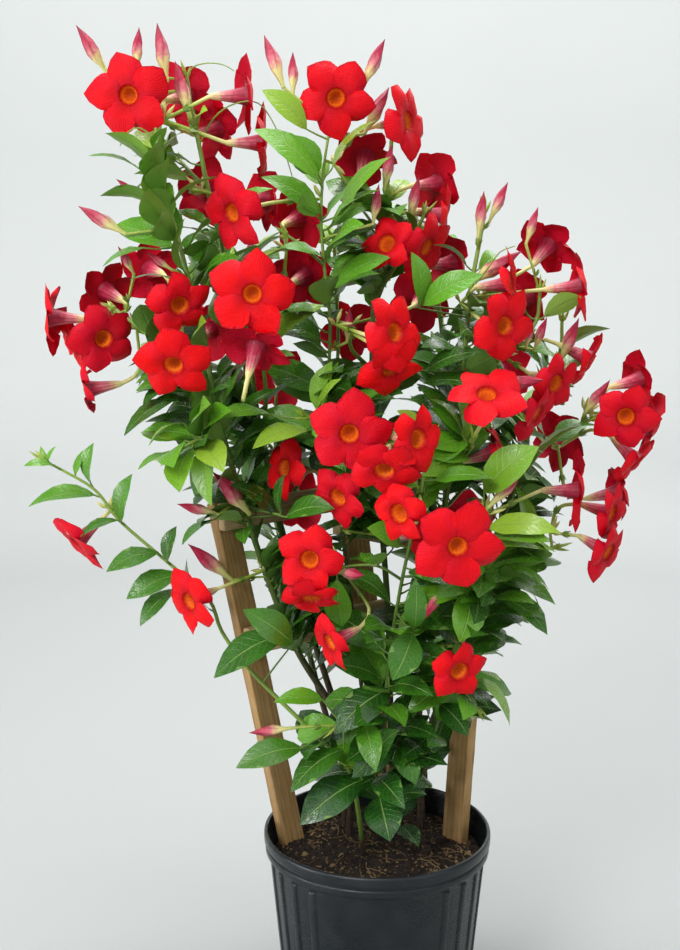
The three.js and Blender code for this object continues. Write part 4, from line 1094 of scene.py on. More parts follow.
@dataclass(frozen=True)
class PetalFinish:
    """A satin petal, red in front and duller behind, round a throat of orange gold, with painted shade toward the
    throat and deep inside it.
    """

    front: Colour = paint("f00206")
    pink: Colour = paint("d00428")
    behind: Colour = paint("c20630")
    # edge: the dark red of the rims and streaks, also used for the painted shade toward the throat
    edge: Colour = paint("8a000c")
    ring: Colour = paint("7a0004")
    # shade and deep: the darker oranges at the bottom of the throat, painted shade in the recess
    shade: Colour = paint("c04a0c")
    deep: Colour = paint("de6010")
    gold: Colour = paint("f27a1c")
    glow: Colour = paint("e04a10")
    lip: Colour = paint("c01008")

    def make(self, effects: Effects) -> Coat:
        """Makes the material from the "petal" note: across, out from the mouth, and side.

        Args:
            effects: The shared groups.

        Returns:
            The material.
        """
        tree = new_material("petal", self.front)
        across, out, side = tree.split(tree.note("petal", "Vector"))
        tint = tree.note("tint")
        patches, fine = tree.group(effects.mottle, Scale=38.0, Grain=520.0)
        streaks = tree.group(effects.ribbing, Along=across, Count=11.0, Fineness=2.2)[0]
        blush = tree.times(tree.step(across, 0.1, 1.0), 0.35, tree.times(tint, 0.6))
        colour = tree.mix(tree.times(patches, 0.25, blush), self.front, self.pink)
        colour = tree.mix(tree.times(tree.step(side, 0.0, -0.3), 0.7), colour, self.behind)
        colour = tree.mix(tree.times(streaks, 0.09), colour, self.edge)
        rim = tree.math("MAXIMUM", tree.step(tree.math("ABSOLUTE", across), 0.9, 1.0), tree.step(out, 0.93, 1.0))
        colour = tree.mix(tree.times(rim, 0.45), colour, self.edge)
        # painted shade: the petals darken toward the throat, where they fold into it
        colour = tree.mix(tree.times(tree.step(out, 0.45, 0.0), 0.32), colour, self.edge)
        colour = tree.mix(tree.times(tree.step(out, 0.1, -0.06), 0.4), colour, self.ring)
        fringe = tree.times(streaks, -0.12, out)
        # painted shade: the gold darkens toward the bottom of the throat, where the funnel is deepest
        gold = tree.ramp(tree.math("ADD", out, 1.0), (
            (0.0, self.shade), (0.4, self.deep), (0.62, self.gold), (0.86, self.glow), (1.0, self.lip),
        ))
        gold = tree.mix(tree.times(streaks, 0.22), gold, self.edge)
        colour = tree.mix(tree.step(fringe, -0.04, -0.42), colour, gold)
        height = tree.times(streaks, 0.5, tree.times(patches, 1.6, tree.times(fine, 0.4)))
        return tree.surface(
            Base_Color=colour,
            Roughness=tree.fit(fine, 0.48, 0.64),
            Normal=tree.bump(height, 0.5, 0.0011),
            Specular_IOR_Level=0.16,
        )


@dataclass(frozen=True)
class TubeFinish:
    """A flower's or a bud's tube: streaked pink, then cream, then green where it is borne."""

    pink: Colour = paint("be2048")
    deep: Colour = paint("8c0c2e")
    rose: Colour = paint("dc7c84")
    cream: Colour = paint("ecdf98")
    lime: Colour = paint("c8cc74")
    green: Colour = paint("93ab3c")

    def make(self, effects: Effects) -> Coat:
        """Makes the material from the "age" note, which runs from the green foot (1) to the mouth (0).

        Args:
            effects: The shared groups.

        Returns:
            The material.
        """
        tree = new_material("flower tube", self.cream)
        age = tree.note("age")
        patches, fine = tree.group(effects.mottle, Scale=160.0, Grain=700.0)
        place = tree.times(patches, 0.08, age)
        streaks = tree.math("POWER", tree.note("fold"), 3.0)
        colour = tree.ramp(place, (
            (0.0, self.deep), (0.18, self.pink), (0.33, self.rose), (0.46, self.cream), (0.7, self.lime),
            (0.95, self.green),
        ))
        folds = tree.times(streaks, tree.step(age, 0.6, 0.2))
        colour = tree.mix(tree.times(folds, 0.8), colour, self.deep)
        return tree.surface(
            Base_Color=colour,
            Roughness=tree.fit(fine, 0.4, 0.52),
            Normal=tree.bump(tree.times(folds, -0.8, fine), 0.4, 0.0006),
        )


@dataclass(frozen=True)
class WoodFinish:
    """Sawn softwood with its grain along the lath, from the "grain" note in metres."""

    name: str
    pale: Colour
    dark: Colour
    line: Colour
    dust: Colour = paint("c8b695")
    rings: float = 210.0

    def make(self, effects: Effects) -> Coat:
        """Makes the material.

        Args:
            effects: The shared groups.

        Returns:
            The material.
        """
        tree = new_material(self.name, self.pale)
        grain = tree.note("grain", "Vector")
        drawn = tree.drawn(grain, (1.0, 1.0, 0.035))
        warp = tree.noise(drawn, 38.0, 2.0)
        x, y, _ = tree.split(drawn)
        bend = tree.times(warp, 0.03, tree.math("ADD", x, tree.times(y, 0.6)))
        rings = tree.math("SINE", tree.times(bend, self.rings * 4.0))
        fine = tree.noise(drawn, 900.0, 3.0)
        saw = tree.noise(tree.drawn(grain, (0.1, 0.1, 1.0)), 700.0, 1.0)
        patches = tree.group(effects.mottle, Scale=14.0, Grain=300.0)[0]
        colour = tree.mix(tree.times(tree.step(rings, -0.6, 1.0), 0.45), self.pale, self.dark)
        colour = tree.mix(tree.times(tree.step(fine, 0.48, 0.72), 0.6), colour, self.line)
        colour = tree.mix(tree.times(patches, 0.35), colour, self.dark)
        dust = tree.group(effects.settled, Scale=60.0, Amount=0.25)[0]
        colour = tree.mix(dust, colour, self.dust)
        height = tree.times(fine, 0.8, tree.times(saw, 0.35, tree.times(rings, 0.15)))
        return tree.surface(
            Base_Color=colour, Roughness=tree.fit(fine, 0.62, 0.86), Normal=tree.bump(height, 0.6, 0.0008)
        )


@dataclass(frozen=True)
class PotFinish:
    """Black moulded plastic with fine scuffs and a little dust."""

    black: Colour = paint("081015")
    worn: Colour = paint("191f25")
    dust: Colour = paint("5d6166")

    def make(self, effects: Effects) -> Coat:
        """Makes the material.

        Args:
            effects: The shared groups.

        Returns:
            The material.
        """
        tree = new_material("pot plastic", self.black)
        patches, fine = tree.group(effects.mottle, Scale=9.0, Grain=900.0)
        scuff = tree.noise(tree.drawn(tree.place(), (1.0, 1.0, 7.0)), 60.0, 6.0)
        colour = tree.mix(tree.times(tree.step(scuff, 0.52, 0.72), 0.5), self.black, self.worn)
        colour = tree.mix(tree.times(patches, 0.25), colour, self.worn)
        colour = tree.mix(tree.group(effects.settled, Scale=34.0, Amount=0.14)[0], colour, self.dust)
        return tree.surface(
            Base_Color=colour,
            Roughness=tree.fit(tree.times(scuff, 0.6, tree.times(patches, 0.4)), 0.2, 0.38),
            Normal=tree.bump(tree.times(scuff, 0.6, fine), 0.25, 0.0004),
            Specular_IOR_Level=0.42,
        )


@dataclass(frozen=True)
class SoilFinish:
    """Damp potting mix, or the crumbs, chips and fibres in it."""

    name: str
    dark: Colour = paint("120c07")
    brown: Colour = paint("3b2818")
    pale: Colour = paint("a98a5e")

    def make(self, effects: Effects) -> Coat:
        """Makes the material, with the "tint" note where a crumb has one.

        Args:
            effects: The shared groups.

        Returns:
            The material.
        """
        tree = new_material(self.name, self.brown)
        patches, fine = tree.group(effects.mottle, Scale=130.0, Grain=800.0)
        tint = tree.note("tint")
        colour = tree.mix(patches, self.dark, self.brown)
        colour = tree.mix(tree.times(fine, 0.3), colour, self.dark)
        colour = tree.mix(tree.times(tree.step(tint, 0.66, 0.98), 0.85), colour, self.pale)
        return tree.surface(
            Base_Color=colour, Roughness=tree.fit(fine, 0.72, 0.98), Normal=tree.bump(fine, 0.9, 0.0015)
        )


@dataclass(frozen=True)
class NailFinish:
    """A dull steel nail head with a little rust."""

    steel: Colour = paint("8c8a86")
    rust: Colour = paint("5c3a22")

    def make(self, effects: Effects) -> Coat:
        """Makes the material.

        Args:
            effects: The shared groups.

        Returns:
            The material.
        """
        tree = new_material("nail", self.steel)
        patches, fine = tree.group(effects.mottle, Scale=700.0, Grain=1500.0)
        return tree.surface(
            Base_Color=tree.mix(tree.times(patches, 0.7), self.steel, self.rust),
            Metallic=tree.fit(patches, 0.9, 0.3),
            Roughness=tree.fit(fine, 0.35, 0.6),
        )


# ---- studio
@dataclass(frozen=True)
class SoftBox:
    """A soft square light."""

    name: str
    place: Place
    aim: Place
    size: float
    power: float

    def hang(self) -> None:
        """Adds the light to the scene, in metres."""
        lamp = bpy.data.lights.new(self.name, "AREA")
        lamp.shape, lamp.size, lamp.energy = "SQUARE", self.size, self.power
        back = unit(np.array(self.place) - np.array(self.aim))
        side = unit(np.cross(UP, back))
        turn = Matrix(tuple(tuple(axis) for axis in (side, np.cross(back, side), back))).transposed().to_4x4()
        turn.translation = self.place
        linked(self.name, lamp).matrix_world = turn


@dataclass(frozen=True)
class Studio:
    """The camera, the pale bowl-shaped sweep that the pot stands in, and the lights."""

    film: float = 36.0
    lens: float = SHEET.away * film / (2 * SHEET.row)
    floor: float = 4.4
    bend: float = 1.5
    height: float = 4.6
    sides: int = 96
    sky: float = 0.39
    air: Colour = (0.96, 0.98, 1.0, 1.0)
    lights: tuple[SoftBox, ...] = (
        SoftBox("key light", (-1.5, -2.5, 2.5), (0, 0, 0.6), 1.1, 66.0),
        SoftBox("side light", (-2.3, -0.7, 0.6), (0, 0, 0.3), 0.9, 22.0),
        SoftBox("fill light", (2.1, -2.1, 1.3), (0, 0, 0.6), 1.6, 11.0),
        SoftBox("top light", (0.1, 0.1, 3.0), (0, 0.1, 0.6), 1.6, 30.0),
        SoftBox("back light", (1.4, 2.6, 2.6), (0, 0, 0.6), 1.6, 26.0),
        SoftBox("sweep light", (0.0, 1.4, 4.4), (0, 5.0, 1.2), 2.6, 255.0),
        SoftBox("front sweep light", (0.0, -2.4, 4.5), (0, -6.0, 1.6), 2.4, 105.0),
    )

    def build(self) -> None:
        """Sets the camera, the sweep and the lights."""
        camera = bpy.data.cameras.new("camera")
        camera.lens, camera.sensor_width = self.lens, self.film
        holder = linked("camera", camera)
        holder.location = [p * MM for p in SHEET.eye]
        holder.rotation_euler = (math.pi / 2 - SHEET.pitch, 0, 0)
        scene = bpy.context.scene
        scene.camera, scene.world = holder, bpy.data.worlds.new("studio air")
        scene.world.use_nodes = True
        air = scene.world.node_tree.nodes["Background"].inputs
        air[0].default_value, air[1].default_value = self.air, self.sky
        scene.view_settings.view_transform = "Standard"
        for light in self.lights:
            light.hang()
        self.sweep()

    def sweep(self) -> Piece:
        """Makes the floor that curves up into a wall all round, with painted shade over the floor.

        Returns:
            The sweep.
        """
        turns, round_it = np.linspace(0, math.pi / 2, 13), np.arange(self.sides) * math.tau / self.sides
        line = [(0.05, 0.0)]
        line += [(self.floor + math.sin(t) * self.bend, self.bend * (1 - math.cos(t))) for t in turns]
        line.append((self.floor + self.bend, self.height))
        under = 0.0005
        rows = [
            np.stack([r * np.cos(round_it), r * np.sin(round_it), np.full(self.sides, z - under)], axis=1)
            for r, z in line
        ]
        tree = new_material("sweep paper", paint("e0e2e1"))
        noise = tree.noise(tree.place(), 1.6, 2.0)
        away = tree.add("ShaderNodeVectorMath", {0: tree.place()}, operation="LENGTH").outputs["Value"]
        # painted shade: the paper's colour darkens out over the floor and pales up the wall
        paper_and_painted_shade = tree.ramp(tree.math("DIVIDE", away, self.floor + self.bend), (
            (0.0, paint("a9acab")), (1.0, paint("c9cccb")), (0.25, paint("a5a8a7")), (0.4, paint("a3a6a5")),
            (0.55, paint("b3b6b5")), (0.75, paint("c4c7c6")),
        ))
        coat = tree.surface(Base_Color=tree.mix(tree.times(noise, 0.06), paper_and_painted_shade, paint("808382")), Roughness=0.9)
        faces = [*grid_faces(len(rows), self.sides, closed=True, flip=True), tuple(range(self.sides))]
        return shaped("sweep", np.vstack(rows) / MM, faces, 180, (coat,))


# ---- pot
@dataclass(frozen=True)
class Pot:
    """A black pot with a rolled lip, a thinner band under it and upright ribs on its two sides."""

    height: float = 240.0
    rim: float = 140.0
    rim_drop: float = 14.0
    groove: float = 137.0
    groove_drop: float = 3.0
    band: float = 138.5
    band_drop: float = 9.0
    top: float = 132.0
    top_height: float = 212.0
    base: float = 112.0
    wall: float = 2.6
    floor: float = 3.0
    sides: int = 240
    rib_lift: float = 1.9
    rib_half: float = 6.4
    rib_low: float = 21.0
    rib_high: float = 207.0
    panel: float = 37.0
    rib_pitch: float = 13.25
    drains: int = 6
    drain: Place = (40.0, 18.0, 16.0)
    drain_turn: float = 38.0

    def radius(self, z: float) -> float:
        """The wall's outer radius at a height."""
        return self.base + (self.top - self.base) * min(z / self.top_height, 1.0)

    def outline(self) -> list[tuple[float, float]]:
        """Lays out the wall's section.

        Returns:
            Rows of radius and height: up the outside, over the lip and down the inside.
        """
        rim, band, high, top = self.rim, self.band, self.height, self.top
        rim_low = high - self.rim_drop
        groove_low = rim_low - self.groove_drop
        band_low = groove_low - self.band_drop
        return [
            (1, 0), (self.base - 9, 0), (self.base - 2.2, 0.3), (self.base - 0.4, 1.8),
            *((self.radius(z), z) for z in (6, 60, 120, 180, 205)),
            (top + 0.4, band_low - 3), (band - 1.6, band_low - 0.4), (band - 0.3, band_low + 0.9),
            (band, band_low + 2.4), (band, groove_low - 2), (band - 0.5, groove_low - 0.6),
            (self.groove, groove_low + 0.2), (self.groove, rim_low - 0.2), (rim - 1.1, rim_low + 0.5),
            (rim - 0.2, rim_low + 1.8), (rim, rim_low + 4), (rim, high - 4), (rim - 0.5, high - 1.7),
            (rim - 1.6, high - 0.4), (rim - 3, high), (rim - 4.4, high - 0.5), (rim - 5, high - 1.8),
            (rim - 5.2, high - 8), (top - self.wall, self.top_height),
            *((self.radius(z) - self.wall, z) for z in (150, 80, self.floor)), (1, self.floor),
        ]

    def rib_shape(self) -> Piece:
        """Makes one rib: half its width along X, its lift along Y and its length along Z.

        Returns:
            The rib.
        """
        root = -0.6
        section = [(-1, root), (-0.86, 0.1), (-0.7, 0.72), (-0.5, 1), (0.5, 1), (0.7, 0.72), (0.86, 0.1), (1, root)]
        ends = ((0, 0.7, 0.2), (0.008, 0.92, 0.8), (0.02, 1, 1), (0.98, 1, 1), (0.992, 0.92, 0.8), (1, 0.7, 0.2))
        rings = [[(x * wide, (y - root) * lift + root, z) for x, y in section] for z, wide, lift in ends]
        faces = capped(len(rings), len(section), flip=True)
        return shaped("rib", np.array(rings).reshape(-1, 3) / MM, faces, 40)

    def ribs(self, tree: Nodes, material: Coat) -> Piece:
        """Sets the ribs round the pot's two sides.

        Args:
            tree: The scatter tree.
            material: The pot's material.

        Returns:
            The ribs.
        """
        places = Places()
        low, high = self.radius(self.rib_low), self.radius(self.rib_high)
        for middle in (0, 180):
            for turn in np.arange(self.panel - 90, 90.1 - self.panel, self.rib_pitch):
                angle = math.radians(middle + turn)
                out = np.array([math.cos(angle), math.sin(angle), 0])
                foot, head = out * low + UP * self.rib_low, out * high + UP * self.rib_high
                along = unit(head - foot)
                side = -unit(np.cross(along, out))
                size = (self.rib_half, self.rib_lift, size_of(head - foot))
                places.add(foot, (side, unit(np.cross(along, side)), along), size)
        return places.grow("ribs", tree, shapes_of("rib", [self.rib_shape()]), material)

    def build(self, tree: Nodes, material: Coat) -> Piece:
        """Makes the pot.

        Args:
            tree: The scatter tree.
            material: The pot's material.

        Returns:
            The pot.
        """
        shell = shaped("pot shell", *spun(self.outline(), self.sides), 50, (material,))
        cut = Skin()
        square = ((-0.5, -0.5), (0.5, -0.5), (0.5, 0.5), (-0.5, 0.5))
        corners = np.array([[x, y, z] for z in (0, 1) for x, y in square])
        box = [(3, 2, 1, 0), (4, 5, 6, 7), (0, 1, 5, 4), (1, 2, 6, 5), (2, 3, 7, 6), (3, 0, 4, 7)]
        for i in range(self.drains):
            turn = math.radians(self.drain_turn + 360 / self.drains * i)
            c, s = math.cos(turn), math.sin(turn)
            x, y, z = (corners * np.array(self.drain) + [self.base, 0, self.floor]).T
            cut.add(np.stack([x * c - y * s, x * s + y * c, z], axis=1), box)
        cutter = cut.build("drain cutter", (), 30)
        hole = shell.modifiers.new("drains", "BOOLEAN")
        hole.operation, hole.solver, hole.object = "DIFFERENCE", "EXACT", cutter
        applied(shell)
        bpy.data.objects.remove(cutter)
        shade(shell.data, 50)
        return finished(joined("ribbed_pot", [shell, self.ribs(tree, material)]), Slot.POT, "pot")


# ---- soil
@dataclass(frozen=True)
class Soil:
    """Potting mix with an uneven top, strewn with crumbs, bark chips and pale fibres.

    Crumbs and chips say how many there are in a square metre, their smallest and largest size, and their height
    as a share of their width.
    """

    top: float = 208.5
    swell: float = 4.0
    radius: float = 127.2
    foot: float = 108.5
    low: float = 3.6
    rings: int = 44
    sides: int = 150
    crumbs: tuple[float, ...] = (46000.0, 0.9, 2.6, 0.8)
    chips: tuple[float, ...] = (5000.0, 2.6, 5.6, 0.34)
    fibres: int = 130
    fibre_spots: int = 7
    fibre_steps: tuple[float, float] = (2.5, 6.5)
    fibre_thick: tuple[float, float] = (0.35, 0.8)
    seed: int = 4
    rough: float = 0.28

    def height(self, x: Array, y: Array) -> Array:
        """Tells the surface's height at places on it.

        Args:
            x: The places' x.
            y: The places' y.

        Returns:
            The height at each.
        """
        lumps = np.sin(x * 0.061 + 1.3) * np.cos(y * 0.053) + 0.6 * np.sin(x * 0.13 + y * 0.11)
        fine = 0.35 * np.sin(x * 0.41 + 2) * np.sin(y * 0.37) + 0.25 * np.sin(x * 0.9 + y * 0.7)
        edge = smooth(np.hypot(x, y), self.radius, self.radius - 26)
        return self.top + self.swell * (0.35 * (lumps + fine) + 0.3 * edge)

    def chunk(self, seed: int, flat: float) -> Piece:
        """Makes an uneven chunk of a size of about one.

        Args:
            seed: The seed of its unevenness.
            flat: Its height as a share of its width.

        Returns:
            The chunk.
        """
        draws = np.random.default_rng(seed)
        points, faces = spun([(0.35, -0.9), (0.85, -0.4), (0.95, 0.3), (0.4, 0.85)], 6)
        points = points * (1 + self.rough * (draws.random((len(points), 1)) - 0.5)) * [1, 0.7, flat] / MM
        return shaped("chunk", points, faces, 35)

    def build(self, strewn: Nodes, tube: Nodes, soil: Coat, litter: Coat) -> Piece:
        """Makes the soil.

        Args:
            strewn: The tree that strews shapes.
            tube: The tube tree.
            soil: The soil's material.
            litter: The material of what lies in it.

        Returns:
            The soil.
        """
        turn = np.arange(self.sides) * 2 * np.pi / self.sides
        reach = self.radius * np.linspace(1, 0.008, self.rings)
        x, y = np.outer(reach, np.cos(turn)), np.outer(reach, np.sin(turn))
        top = np.stack([x, y, self.height(x, y)], axis=2).reshape(-1, 3)
        foot = np.stack([np.cos(turn) * self.foot, np.sin(turn) * self.foot, np.full(self.sides, self.low)], axis=1)
        whole, faces = np.vstack([foot, top]), capped(self.rings + 1, self.sides)
        bed = grid_faces(self.rings, self.sides, closed=True)
        parts = [shaped("soil body", whole, faces, 80, (soil,), tint=np.full(len(whole), 0.2))]
        for i, (density, low, high, flat) in enumerate((self.crumbs, self.chips)):
            shapes = shapes_of(f"chunk{i}", [self.chunk(self.seed + 9 * i + k, flat) for k in range(4)])
            inputs = {"Density": density, "Smallest": low * MM, "Largest": high * MM, "Seed": self.seed + i}
            inputs |= {"Shapes": shapes, "Material": litter}
            crumbs = grown(shaped("bed", top, bed, 80), strewn, inputs)
            shade(crumbs.data, 35)
            parts.append(crumbs)
        draws, paths = np.random.default_rng(self.seed), Paths()
        for _ in range(self.fibres):
            way, spread = draws.random() * math.tau, self.radius * 0.88 * math.sqrt(draws.random())
            place, heading = np.array([math.cos(way), math.sin(way)]) * spread, draws.random() * math.tau
            spots = []
            for _ in range(self.fibre_spots):
                spots.append(place)
                heading += 0.7 * (draws.random() - 0.5)
                place = place + np.array([math.cos(heading), math.sin(heading)]) * draws.uniform(*self.fibre_steps)
            level = np.array([p for p in spots if np.hypot(*p) < self.radius - 4])
            if len(level) > 2:
                z = self.height(level[:, 0], level[:, 1]) + draws.uniform(0.2, 2.6, len(level))
                line = Line(np.column_stack([level, z]), np.full(len(level), draws.uniform(*self.fibre_thick)))
                paths.add(line, np.ones(len(level)), draws.uniform(0.6, 1.0))
        parts.append(paths.grow("fibres", tube, 5, litter))
        return finished(joined("potting_soil", parts), Slot.SOIL, "soil")


# ---- trellis
@dataclass(frozen=True)
class Board:
    """A sawn lath that stands for a packed one, with softened edges."""

    node: str
    slot: Slot
    nails: bool = False
    nail: float = 3.1
    nail_in: float = 23.0
    nail_aside: float = 7.0
    nail_sunk: float = 0.3
    soft: float = 1.1
    pitch: float = 26.0

    def build(self, wood: Coat, steel: Coat, tree: Nodes, heads: Shapes) -> Piece:
        """Makes the lath.

        Args:
            wood: Its wood.
            steel: Its nails' material.
            tree: The scatter tree.
            heads: The nail head's shape.

        Returns:
            The lath.
        """
        points = Packed(self.node).points
        centre = points.mean(axis=0)
        _, _, axes = np.linalg.svd(points - centre)
        long, wide, thin = axes
        if np.dot(np.cross(wide, thin), long) < 0:
            thin = -thin
        half = [float(np.abs((points - centre) @ axis).max()) for axis in (long, wide, thin)]
        draws = np.random.default_rng(sum(map(ord, self.node)))
        count = int(2 * half[0] / self.pitch)
        stops = [-half[0], *np.linspace(self.soft - half[0], half[0] - self.soft, count), half[0]]
        rings = []
        for i, stop in enumerate(stops):
            end = self.soft if i in (0, len(stops) - 1) else 0.0
            for sx, sy in ((1, 1), (-1, 1), (-1, -1), (1, -1)):
                cut = self.soft * draws.uniform(0.6, 1.3)
                pair = [(half[1] - end, half[2] - end - cut), (half[1] - end - cut, half[2] - end)]
                for a, b in pair if sx * sy > 0 else pair[::-1]:
                    rings.append(centre + long * stop + wide * (sx * a) + thin * (sy * b))
        rings = np.array(rings)
        grain = np.stack([(rings - centre) @ axis for axis in (wide, thin, long)], axis=1) * MM + draws.random(3)
        parts = [shaped(self.node + " wood", rings, capped(len(stops), 8), 30, (wood,), grain=grain)]
        if self.nails:
            out = thin if np.dot(thin, centre - [0, TRELLIS_Y, centre[2]]) > 0 else -thin
            places = Places()
            for end, aside in ((-1, -1), (-1, 1), (1, -1), (1, 1)):
                spot = centre + long * end * (half[0] - self.nail_in) + wide * aside * self.nail_aside
                places.add(spot + out * (half[2] - self.nail_sunk), upright(out, long), (self.nail,) * 3)
            parts.append(places.grow("nails", tree, heads, steel))
        return finished(joined("sawn_" + self.node, parts), self.slot, self.node)


def nail_head() -> Piece:
    """Makes a domed nail head of a radius of one."""
    points, faces = spun([(0.4, -0.4), (1.0, 0.0), (0.96, 0.2), (0.6, 0.36), (0.1, 0.42)], 14)
    return shaped("nail head", points / MM, faces, 50)


# ---- small shapes of the plant
def leaf_blade(fold: float, curl: float, wave: float, twist: float) -> Piece:
    """Makes a leaf blade: its half width along X, its length along Y, and its upper side up Z.

    Args:
        fold: How far its halves rise from the midrib.
        curl: How far its tip bends down.
        wave: How wavy its edge is.
        twist: How far it twists toward its tip, in radians.

    Returns:
        The blade.
    """
    outline = ((0, 0.05), (0.09, 0.44), (0.24, 0.83), (0.42, 1.0), (0.6, 0.96), (0.77, 0.7), (0.91, 0.3), (1, 0.02))
    across = np.array([-1, -0.55, 0, 0.55, 1])
    rows, notes = [], []
    for t, wide in outline:
        rise = 0.5 * (t - t * t) - curl * t**3
        lift = rise + wide * (fold * np.abs(across) - 0.03 * across**2)
        lift = lift + wave * np.sin(t * 13 + across * 1.7) * np.abs(across) * wide
        lift = lift + across * wide * math.sin(twist * t) * 0.2
        rows.append(np.stack([across * wide, np.full(5, t), lift], axis=1))
        notes.append(np.stack([across, np.full(5, t)], axis=1))
    points, faces, note = thin_shell(np.array(rows), np.array(notes), 0.009)
    return shaped("blade", points / MM, faces, 60, blade=note)


def bud_shape(plump: float, lean: float, blush: float = 1.0) -> Piece:
    """Makes a pointed bud with spiral folds: its belly's radius is one, and so is its length.

    Args:
        plump: How far up its belly is.
        lean: How far its tip leans, as a share of its length.
        blush: How pink its tip is, from 0 on a green bud.

    Returns:
        The bud.
    """
    foot, head = [(0.34, 0), (0.32, 0.08), (0.5, 0.2), (0.84, 0.34)], [(0.86, 0.64), (0.52, 0.8), (0.2, 0.92)]
    points, faces = spun([*foot, (1, plump), *head, (0.03, 1)], 10)
    high = points[:, 2].copy()
    turn, fold = high * 1.7, np.arange(len(points)) % 2
    ridge = 1 + 0.1 * np.where(fold, 1, -1) * smooth(high, 0.15, 0.5)
    x, y, c, s = points[:, 0] * ridge, points[:, 1] * ridge, np.cos(turn), np.sin(turn)
    points = np.stack([x * c - y * s + lean * high**2, x * s + y * c, high], axis=1)
    age = 1 - blush * (1 - 0.72 * (1 - high) ** 1.4)
    return shaped("bud", points / MM, faces, 75, age=age, fold=fold.astype(float))


def calyx_shape() -> Piece:
    """Makes a cup of five small pointed sepals round Z, one unit high.

    Returns:
        The calyx.
    """
    skin = Skin()
    for k in range(5):
        turn = math.tau * k / 5
        c, s = math.cos(turn), math.sin(turn)
        rows = []
        for t, wide, out in ((0, 0.1, 0.1), (0.3, 0.24, 0.3), (0.65, 0.17, 0.38), (1, 0.02, 0.52)):
            rows.append([(out * c - u * wide * s, out * s + u * wide * c, t) for u in (-1, 0, 1)])
        grid = np.array(rows)
        points, faces, _ = thin_shell(grid, grid[:, :, :2], 0.06)
        skin.add(points / MM, faces, age=np.full(len(points), 0.25))
    return skin.build("calyx", (), 60)


# The blades: fold, curl, wave and twist. The buds: belly, lean and blush; the last two are small green ones.
BLADES = (
    (0.05, 0.0, 0.012, 0.3), (0.085, 0.02, 0.008, -0.4), (0.03, 0.05, 0.016, 0.2), (0.07, -0.03, 0.014, 0.5),
    (0.06, 0.03, 0.01, -0.2),
)
BUDS = ((0.45, 0.02), (0.5, -0.03), (0.42, 0.03), (0.3, 0.05, 0.12), (0.4, 0.04, 0.5))


# ---- the growing plant
@dataclass
class Branch:
    """One shoot of a stem, as it grows."""

    stem: str
    line: Line
    rooted: bool
    shoot: Shoot

    def seat(self, target: Array) -> tuple[float, float]:
        """Finds where a growth that heads for a target leaves this shoot.

        Args:
            target: The point that it heads for.

        Returns:
            The gap to it, and the distance along the line.
        """
        gap, distance = self.line.nearest(target)
        bare_foot, end = 70, 2
        return gap, float(np.clip(distance, bare_foot if self.rooted else end, self.line.lengths()[-1] - end))


# Places on a blade where its room is tested: along it, and across its half width.
SPREAD = np.array(
    [(0.1, 0), (0.35, 0), (0.35, 0.85), (0.35, -0.85), (0.65, 0), (0.65, 0.75), (0.65, -0.75), (0.97, 0)]
)


@dataclass
class Leaf:
    """A leaf: its blade's base, direction, upper side and size, and where its stalk leaves the stem."""

    base: Array
    dir: Array
    up: Array
    length: float
    half: float
    root: Array
    age: float
    tint: float

    def side(self) -> Array:
        """The direction across the blade."""
        return np.cross(self.dir, self.up)

    def samples(self) -> Array:
        """Spreads points over the blade.

        Returns:
            A row of x, y, z for each.
        """
        t, u = SPREAD.T[..., None]
        rise = self.up * (self.length * 0.5 * (t - t * t))
        return self.base + self.dir * self.length * t + self.side() * self.half * u + rise


@dataclass
class Lobe:
    """A petal's start and the turn, radius and lift of its corners and its heart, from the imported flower."""

    start: float
    corners: list[tuple[float, float, float]]
    heart: tuple[float, float, float]


@dataclass
class Flower:
    """A flower's mouth, its axis, its lobes and the way of its tube."""

    mouth: Array
    axis: Array
    lobes: list[Lobe]
    tint: float

    def frame(self) -> tuple[Array, Array]:
        """The two directions across the flower."""
        level = unit(np.cross(self.axis, UP))
        return level, np.cross(level, self.axis)

    def reach(self) -> float:
        """The longest radius of its petals."""
        return max(radius for lobe in self.lobes for _, radius, _ in lobe.corners)

    def behind(self, distance: float) -> Array:
        """The point on its axis at a distance behind its mouth."""
        return self.mouth - self.axis * distance

    def touches(self, points: Array, spare: float) -> bool:
        """Looks whether points are in the flower or close to it.

        Args:
            points: The points.
            spare: How close is too close.

        Returns:
            Whether any of them is.
        """
        thick, tube, mouth, taper = 6, 70, 12, 50
        local = points - self.mouth
        deep = local @ self.axis
        off = np.linalg.norm(local - np.outer(deep, self.axis), axis=1)
        petals = (np.abs(deep) < thick + spare) & (off < self.reach() + spare)
        funnel = (deep < 0) & (deep > -tube) & (off < mouth * np.clip(1 + deep / taper, 0.3, 1) + spare)
        return bool((petals | funnel).any())


